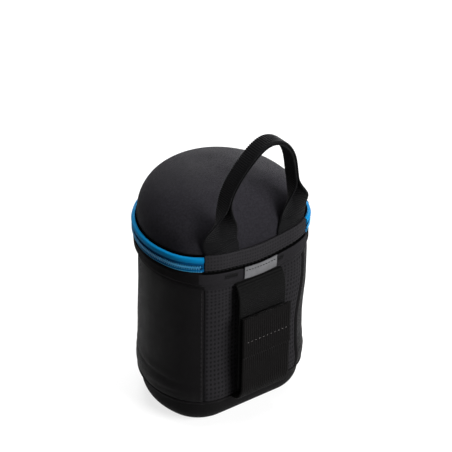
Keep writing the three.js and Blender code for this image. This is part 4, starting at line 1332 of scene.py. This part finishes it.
def stand_off(root_y, root_z, face_y, turn_z, tip_z, steps=24):
    """Line in Y and Z of a webbing that leaves the back at its root and stands upright off it."""
    line = [(root_y, root_z)]
    for i in range(steps + 1):
        angle = math.pi / 2 * i / steps
        line.append((root_y + LEAD + (face_y - root_y - LEAD) * math.sin(angle),
                     root_z + (turn_z - root_z) * (1 - math.cos(angle))))
    return np.array(line + [(face_y, tip_z)])


def webbing(name, line, width, rib_depth, along, shape, step, hem=None):
    """Webbing spread across X along a line of Y and Z, ribbed along or across its length."""
    path, run, ahead = even(line, step)
    normal = np.stack([-ahead[:, 1], ahead[:, 0]], 1)
    half = width / 2
    x = span(-half + 1.0, half - 1.0, 0.27 if along else 1.2)
    x = np.concatenate([[-half, -half + 0.15, -half + 0.5], x, [half - 0.5, half - 0.15, half]])
    body = web_half(x, half, BELT_WEB)
    inside = np.abs(x) < half - 0.8
    if along:
        rib = np.where(inside, rib_depth * np.sin(TAU * x / BELT_RIB), 0)[None, :] * np.ones((len(run), 1))
    else:
        rib = rib_depth * np.sin(TAU * run / BELT_RIB)[:, None] * inside[None, :]
    weight = body[None, :] + rib
    sides = []
    for side in (1, -1):
        reach = side * weight
        if hem and side < 0:
            reach = reach - hem(path[:, 1])[:, None] * np.ones((1, len(x)))
        y = path[:, :1] + normal[:, :1] * reach
        z = path[:, 1:] + normal[:, 1:] * reach
        sides.append(np.stack([np.repeat(x[None, :], len(run), 0), y, z], -1))
    grid = shape(np.concatenate([sides[0], sides[1][:, ::-1]], 1))
    return lattice(name, grid, run, both_faces(x, 2 * width))


def strap_shape(grid):
    """A loose wave low down, and a bow across the strap under its upper seam."""
    x, z = grid[..., 0], grid[..., 2]
    pressed_flat = 0.9 * smoothstep(z, 40, 46) * (1 - smoothstep(z, 84, 90))
    free = (1 - smoothstep(z, 96, 110)) * (1 - pressed_flat)
    bow = 0.35 * (1 - (x / (STRAP_WIDTH / 2)) ** 2) * smoothstep(z, 84, 94) * (1 - smoothstep(z, 100, 110))
    wave = 0.15 * waves(grid, 30, 31) * free
    grid[..., 1] += bow + wave
    return grid


def hem_rise(z):
    """The ply of the flap's end that is turned back inside."""
    return 0.7 * smoothstep(z, FLAP_HEM - 0.6, FLAP_HEM + 0.6)


def flap_shape(grid):
    """The tucked end, a dip under the stitch row and a slight lean of the outer ply."""
    z = grid[..., 2]
    outside = smoothstep(grid[..., 1], FLAP_MIDDLE, FLAP_MIDDLE + 0.5)
    dips = 0.3 * ridge(z, FLAP_HEM + 1.3, 1.0) - 0.3 * ridge(z, FLAP_ROW, 0.8)
    dips = dips - 0.35 * smoothstep(z, FLAP_TOP - 2, FLAP_TOP)
    wave = 0.1 * waves(grid, 24, 33) * smoothstep(z, FLAP_TURN - 0.9, FLAP_TURN + 5.1)
    grid[..., 1] += dips * outside + wave
    return grid


strap_line = stand_off(STRAP_ROOT, STRAP_TOP, STRAP_MIDDLE, STRAP_TOP - 12, STRAP_TIP)
strap = webbing("belt_strap_web", strap_line, STRAP_WIDTH, 0.22, False, strap_shape, 0.34)
dress(strap, STRAP_WEB, None, "strap_webbing", "belt_strap")
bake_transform(strap)

flap_line = stand_off(FLAP_ROOT, FLAP_FOOT, FLAP_MIDDLE, FLAP_TURN, FLAP_TOP)
flap = webbing("belt_flap_web", flap_line, FLAP_WIDTH, 0.2, True, flap_shape, 0.7, hem_rise)
dress(flap, FLAP_WEB, None, "flap_webbing", "belt_flap")
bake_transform(flap)


def across_flap(distance):
    """Places along the stitch row on the flap's outer face."""
    x = FLAP_ROW_HALF - distance
    points = np.stack([x, np.full(len(x), FLAP_OUTSIDE), np.full(len(x), FLAP_ROW)], -1)
    return points, np.tile([0.0, 1.0, 0.0], (len(x), 1))


sew("flap_stitches", across_flap, 2 * FLAP_ROW_HALF, 1.5, 1.7, 0.28, THREAD_PALE, "flap", "flap_webbing")

# Patches of the closure

PATCH_HALF = 17.0
PATCH_FOOT = 46.0
PATCH_TOP = 84.0
PATCH_BACKING = 0.5
PILE_PITCH = 1.7
PILE_TALL = 0.6
LOOP_CHANCE = np.random.default_rng(42)


def slab(y_in, y_out):
    """Grid and cloth places of a patch's backing."""
    x = span(-PATCH_HALF, PATCH_HALF, 1.7)
    z = span(PATCH_FOOT, PATCH_TOP, 1.9)
    gx, gz = np.meshgrid(x, z, indexing="ij")
    front = np.stack([gx, np.full_like(gx, y_out), gz], -1)
    back = np.stack([gx, np.full_like(gx, y_in), gz], -1)[:, ::-1]
    return np.concatenate([front, back], 1), x, out_and_back(z, 1)


def loop_pile(foot, toward):
    """One open loop, turned and leaning by chance."""
    lean_by = LOOP_CHANCE.uniform(-0.3, 0.3)
    wide = LOOP_CHANCE.uniform(0.4, 0.6)
    turn = LOOP_CHANCE.uniform(0, math.pi)
    aside = np.array([wide * math.cos(turn), 0.0, wide * math.sin(turn)])
    top = foot + np.array([lean_by, toward * (0.05 + PILE_TALL * 0.85), 0.0])
    ahead = np.array([math.sin(turn), 0.0, -math.cos(turn)]) + 1e-3
    return [capsule(foot - aside, top, 0.12, ahead, 1.0, 4), capsule(top, foot + aside, 0.12, ahead, 1.0, 4)]


def hook_pile(foot, toward):
    """One hook: a stem with a short barb."""
    top = foot + np.array([0.0, toward * (0.05 + PILE_TALL * 0.85), 0.0])
    tip = top + np.array([0.35, -toward * 0.18, 0.0])
    ahead = np.array([0.0, 0.0, -1.0]) + 1e-3
    start = foot - np.array([0.34, 0.0, 0.0])
    return [capsule(start, top, 0.12, ahead, 1.0, 4), capsule(top, tip, 0.11, ahead, 1.0, 4)]


def make_patch(name, low_y, high_y, toward, pile, material, body, slot_name, node):
    """A backing with its pile, which points to +Y where toward is 1 and to -Y where it is -1."""
    backing = (low_y, low_y + PATCH_BACKING) if toward > 0 else (high_y - PATCH_BACKING, high_y)
    dress(lattice(f"{name}_backing", *slab(*backing)), material, body, slot_name, node)
    face = backing[1] if toward > 0 else backing[0]
    parts = []
    for i, px in enumerate(np.arange(-PATCH_HALF + 1.2, 16, PILE_PITCH)):
        for pz in np.arange(PATCH_FOOT + 1.2 + (i % 2) * PILE_PITCH / 2, PATCH_TOP - 1, PILE_PITCH):
            parts += pile(np.array([px, face - toward * 0.05, pz]), toward)
    dress(joined(f"{name}_pile", parts), material, body, slot_name)


make_patch("loop_side", 47.1, 48.3, 1, loop_pile, LOOPS, "strap", "loop_pile", "loop_patch")
make_patch("hook_side", 48.6, 49.8, -1, hook_pile, HOOKS, "flap", "hook_tape", "hook_patch")

# Slider and pull

SLIDER_PLACE = -FRONT_RADIUS * math.radians(100)
SLIDER_INSIDE = TAPE_FACE + 1.7
SLIDER_FACE = SLIDER_INSIDE + 1.3
SLIDER_FOOT = RIM_TOP - 1.2
SLIDER_TOP = SLIDER_FOOT + 8.2
SLIDER_HALF = 5.5
BRIDGE_SIDES = 12


def rounded_box(low, high, radius, cells):
    """Points and quads of a box with rounded edges."""
    low, high = np.array(low, float), np.array(high, float)
    half, centre = (high - low) / 2, (high + low) / 2
    radius = min(radius, *(half * 0.98))
    points, faces, index = [], [], {}
    steps = np.linspace(-1, 1, cells + 1)

    def vertex(p):
        key = tuple(np.round(p, 6))
        if key not in index:
            index[key] = len(points)
            q = np.array(p) * half
            core = np.clip(q, -(half - radius), half - radius)
            away = q - core
            points.append(centre + core + radius * away / max(np.linalg.norm(away), 1e-9))
        return index[key]

    for axis in range(3):
        for end in (-1, 1):
            for i in range(cells):
                for j in range(cells):
                    quad = []
                    for a, b in ((i, j), (i + 1, j), (i + 1, j + 1), (i, j + 1)):
                        p = [0.0, 0.0, 0.0]
                        p[axis] = end
                        p[(axis + 1) % 3], p[(axis + 2) % 3] = steps[a], steps[b]
                        quad.append(vertex(p))
                    faces.append(quad if end > 0 else quad[::-1])
    return np.array(points), faces


def place_on_wall(points):
    """Points of tangent, level and offset, laid round the wall at the slider."""
    return wall(SLIDER_PLACE + points[:, 0], points[:, 2], points[:, 1])


def flat_on_wall(points):
    """The same, on the flat plane that touches the wall at the slider."""
    here = np.full(len(points), SLIDER_PLACE)
    normal = wall_normal(here)
    tangent = np.cross([0.0, 0.0, 1.0], normal)
    flat = wall(here, 0, 0) + tangent * points[:, :1] + normal * points[:, 2:3]
    return flat + np.array([0, 0, 1.0]) * points[:, 1:2]


def squared(wave, size):
    """A sine or cosine drawn out towards its ends, which squares the circle that it belongs to."""
    return size * np.sign(wave) * abs(wave) ** 0.6


def make_slider():
    """The slider: a plate narrowed at one end, a lip under the lower tape's edge, and the pull's bridge."""
    plate, plate_faces = rounded_box((-SLIDER_HALF, SLIDER_FOOT, SLIDER_INSIDE),
                                     (SLIDER_HALF, SLIDER_TOP, SLIDER_FACE), 0.6, 12)
    middle = (SLIDER_FOOT + SLIDER_TOP) / 2
    squeeze = 1 - 0.22 * smoothstep(-plate[:, 0], 1.0, SLIDER_HALF)
    plate[:, 1] = middle + (plate[:, 1] - middle) * squeeze
    lip, lip_faces = rounded_box((-4.4, SLIDER_FOOT, SLIDER_INSIDE - 1.1),
                                 (5.4, SLIDER_FOOT + 1.15, SLIDER_INSIDE + 0.4), 0.3, 6)
    turns = np.linspace(0, math.pi, 13)
    rise = SLIDER_FACE - 0.3 + 3.1 * np.sin(turns) ** 0.55
    path = np.stack([PARTING_LEVEL - 2.3 * np.cos(turns), rise], 1)
    ahead = np.gradient(path, axis=0)
    ahead /= np.linalg.norm(ahead, axis=1, keepdims=True)
    bridge = []
    for (z, off), (dz, doff) in zip(path, ahead):
        for turn in np.linspace(0, TAU, BRIDGE_SIDES + 1)[:-1]:
            thick = squared(math.sin(turn), 0.58)
            bridge.append((squared(math.cos(turn), 1.0), z + doff * thick, off - dz * thick))
    faces = [[a, d, c, b] for a, b, c, d in tube_faces(len(path), BRIDGE_SIDES)]
    faces.append(list(range(BRIDGE_SIDES)))
    faces.append([(len(path) - 1) * BRIDGE_SIDES + j for j in range(BRIDGE_SIDES)][::-1])
    bridge = np.array(bridge)
    return joined("slider_body", [
        (place_on_wall(plate), plate_faces, plate[:, :2].tolist()),
        (place_on_wall(lip), lip_faces, lip[:, :2].tolist()),
        (flat_on_wall(bridge), faces, bridge[:, :2].tolist()),
    ])


dress(make_slider(), METAL, "slider", "slider_metal", "zip_slider")

PULL_LENGTH = 26.0
PULL_TIP_RADIUS = 2.1
PULL_HOLE_RADIUS = 1.3
PULL_SHOULDER = -5.2
PULL_HALF = 3.25
WINDOW_HALF = 1.75
WINDOW_TOP = -0.75
WINDOW_FOOT = -4.2


def make_pull():
    """The pull: a flat tapered tab with rounded edges, a window at its head and a hole at its tip."""
    curve = bpy.data.curves.new("pull_outline", "CURVE")
    curve.dimensions = "2D"
    curve.fill_mode = "BOTH"
    curve.extrude = 0.32
    curve.bevel_depth = 0.26
    curve.bevel_resolution = 2
    lower = -PULL_LENGTH + 2.4

    def arc(x, y, level, end, count):
        return [(x * math.cos(t), level + y * math.sin(t)) for t in np.linspace(0, end, count)]

    tip = arc(-PULL_TIP_RADIUS, -PULL_TIP_RADIUS, lower, math.pi, 13)
    head = arc(3.2, 0.3, 0.0, math.pi, 7)
    outline = [(-PULL_HALF, PULL_SHOULDER), *tip, (PULL_HALF, PULL_SHOULDER), *head]
    window = [(-WINDOW_HALF, WINDOW_TOP), (-WINDOW_HALF, WINDOW_FOOT), (WINDOW_HALF, WINDOW_FOOT),
              (WINDOW_HALF, WINDOW_TOP)]
    hole = arc(PULL_HOLE_RADIUS, PULL_HOLE_RADIUS, lower + 1.2, TAU, 17)[:-1]
    for points in (outline, window, hole):
        spline = curve.splines.new("POLY")
        spline.points.add(len(points) - 1)
        for point, (x, y) in zip(spline.points, points):
            point.co = (x, y, 0, 1)
        spline.use_cyclic_u = True
    holder = bpy.data.objects.new("pull_outline", curve)
    bpy.context.scene.collection.objects.link(holder)
    graph = bpy.context.evaluated_depsgraph_get()
    mesh = bpy.data.meshes.new_from_object(holder.evaluated_get(graph))
    co = np.array([v.co for v in mesh.vertices])
    faces = [list(p.vertices) for p in mesh.polygons]
    bpy.data.objects.remove(holder)
    bpy.data.curves.remove(curve)
    bpy.data.meshes.remove(mesh)
    drawn = np.stack([co[:, 0], PARTING_LEVEL + co[:, 1], SLIDER_FACE + 1.1 + co[:, 2]], 1)
    uvs = [tuple(co[k, :2]) for face in faces for k in face]
    return mesh_object("pull_tab", flat_on_wall(drawn), faces, uvs, 35)


dress(make_pull(), METAL, "pull", "slider_metal", "zip_pull")

# Stage, light and camera

FLOOR_HALF = 4000
FLOOR_GLOW = 0.76
SKY_LIGHT = 0.08


def direct_rays(tree):
    """1 for rays from the camera, off a gloss or through a clear piece, and 0 for the scene's own light."""
    rays = tree.nodes.new("ShaderNodeLightPath")
    total = rays.outputs["Is Camera Ray"]
    for kind in ("Is Glossy Ray", "Is Transmission Ray"):
        larger = tree.nodes.new("ShaderNodeMath")
        larger.operation = "MAXIMUM"
        tree.links.new(total, larger.inputs[0])
        tree.links.new(rays.outputs[kind], larger.inputs[1])
        total = larger.outputs[0]
    return total


def make_floor():
    """A grey floor that takes the shadow, with a glow of its own that makes it white to the eye."""
    corners = [(-1, -1), (1, -1), (1, 1), (-1, 1)]
    floor = mesh_object("floor", [(x * FLOOR_HALF, y * FLOOR_HALF, 0) for x, y in corners], [(0, 1, 2, 3)],
                        [(0, 0), (1, 0), (1, 1), (0, 1)])
    material = bpy.data.materials.new("pale_floor")
    material.use_nodes = True
    tree = material.node_tree
    shader = tree.nodes["Principled BSDF"]
    shader.inputs["Base Color"].default_value = (0.26, 0.26, 0.26, 1)
    shader.inputs["Roughness"].default_value = 0.9
    shader.inputs["Specular IOR Level"].default_value = 0.0
    amount = tree.nodes.new("ShaderNodeMath")
    amount.operation = "MULTIPLY"
    amount.inputs[1].default_value = FLOOR_GLOW
    glow = tree.nodes.new("ShaderNodeEmission")
    total = tree.nodes.new("ShaderNodeAddShader")
    for source, socket in (
        (direct_rays(tree), amount.inputs[0]),
        (amount.outputs[0], glow.inputs["Strength"]),
        (shader.outputs[0], total.inputs[0]),
        (glow.outputs[0], total.inputs[1]),
        (total.outputs[0], tree.nodes["Material Output"].inputs["Surface"]),
    ):
        tree.links.new(source, socket)
    floor.data.materials.append(material)


def make_sky():
    """White to the eye, and a dim light on the scene."""
    world = bpy.data.worlds.new("studio")
    bpy.context.scene.world = world
    world.use_nodes = True
    tree = world.node_tree
    sky = tree.nodes["Background"]
    sky.inputs["Color"].default_value = (1, 1, 1, 1)
    level = tree.nodes.new("ShaderNodeMapRange")
    level.inputs["To Min"].default_value = SKY_LIGHT
    level.inputs["To Max"].default_value = 1.0
    tree.links.new(direct_rays(tree), level.inputs["Value"])
    tree.links.new(level.outputs[0], sky.inputs["Strength"])


AIM = Vector((0, 0, 70.11)) * MM
AZIMUTH = math.radians(143.087)
ELEVATION = math.radians(33.593)
ROLL = math.radians(0.737)
DISTANCE = 1520.4
AIM_RIGHT = 0.0022
AIM_UP = 0.03375
LENS = 2200 * 36 / 452
TO_CAMERA = Vector((math.sin(AZIMUTH) * math.cos(ELEVATION), -math.cos(AZIMUTH) * math.cos(ELEVATION),
                    math.sin(ELEVATION)))
RIGHT = Vector((0, 0, 1)).cross(TO_CAMERA).normalized()
ABOVE = TO_CAMERA.cross(RIGHT)


def lamp(name, right, above, near, size, power):
    """A soft square lamp, placed by how many metres right of, above and towards the camera it stands."""
    data = bpy.data.lights.new(name, "AREA")
    data.shape = "SQUARE"
    data.size = size
    data.energy = power
    obj = bpy.data.objects.new(name, data)
    bpy.context.scene.collection.objects.link(obj)
    level = Vector((TO_CAMERA.x, TO_CAMERA.y, 0)).normalized()
    obj.location = AIM + RIGHT * right + Vector((0, 0, above)) + level * near
    obj.rotation_mode = "QUATERNION"
    obj.rotation_quaternion = (obj.location - AIM).to_track_quat("Z", "Y")


def make_camera():
    across = RIGHT * math.cos(ROLL) + ABOVE * math.sin(ROLL)
    upward = -RIGHT * math.sin(ROLL) + ABOVE * math.cos(ROLL)
    forward = (-TO_CAMERA + across * AIM_RIGHT + upward * AIM_UP).normalized()
    screen_right = (across - forward * across.dot(forward)).normalized()
    data = bpy.data.cameras.new("camera")
    data.sensor_width = 36
    data.lens = LENS
    data.clip_start = 0.05
    data.clip_end = 20
    camera = bpy.data.objects.new("camera", data)
    bpy.context.scene.collection.objects.link(camera)
    axes = Matrix((screen_right, screen_right.cross(forward), -forward)).transposed().to_4x4()
    axes.translation = AIM + TO_CAMERA * DISTANCE * MM
    camera.matrix_world = axes
    bpy.context.scene.camera = camera


make_floor()
make_sky()
lamp("top_lamp", 0.0, 1.15, -0.2, 0.9, 16.0)
lamp("left_lamp", -1.15, 0.4, -0.6, 0.7, 1.5)
lamp("far_lamp", 0.05, 0.3, -1.2, 0.5, 14.0)
lamp("right_lamp", 1.12, 0.6, 0.74, 0.8, 41.0)
make_camera()
bpy.context.scene.view_settings.view_transform = "Standard"
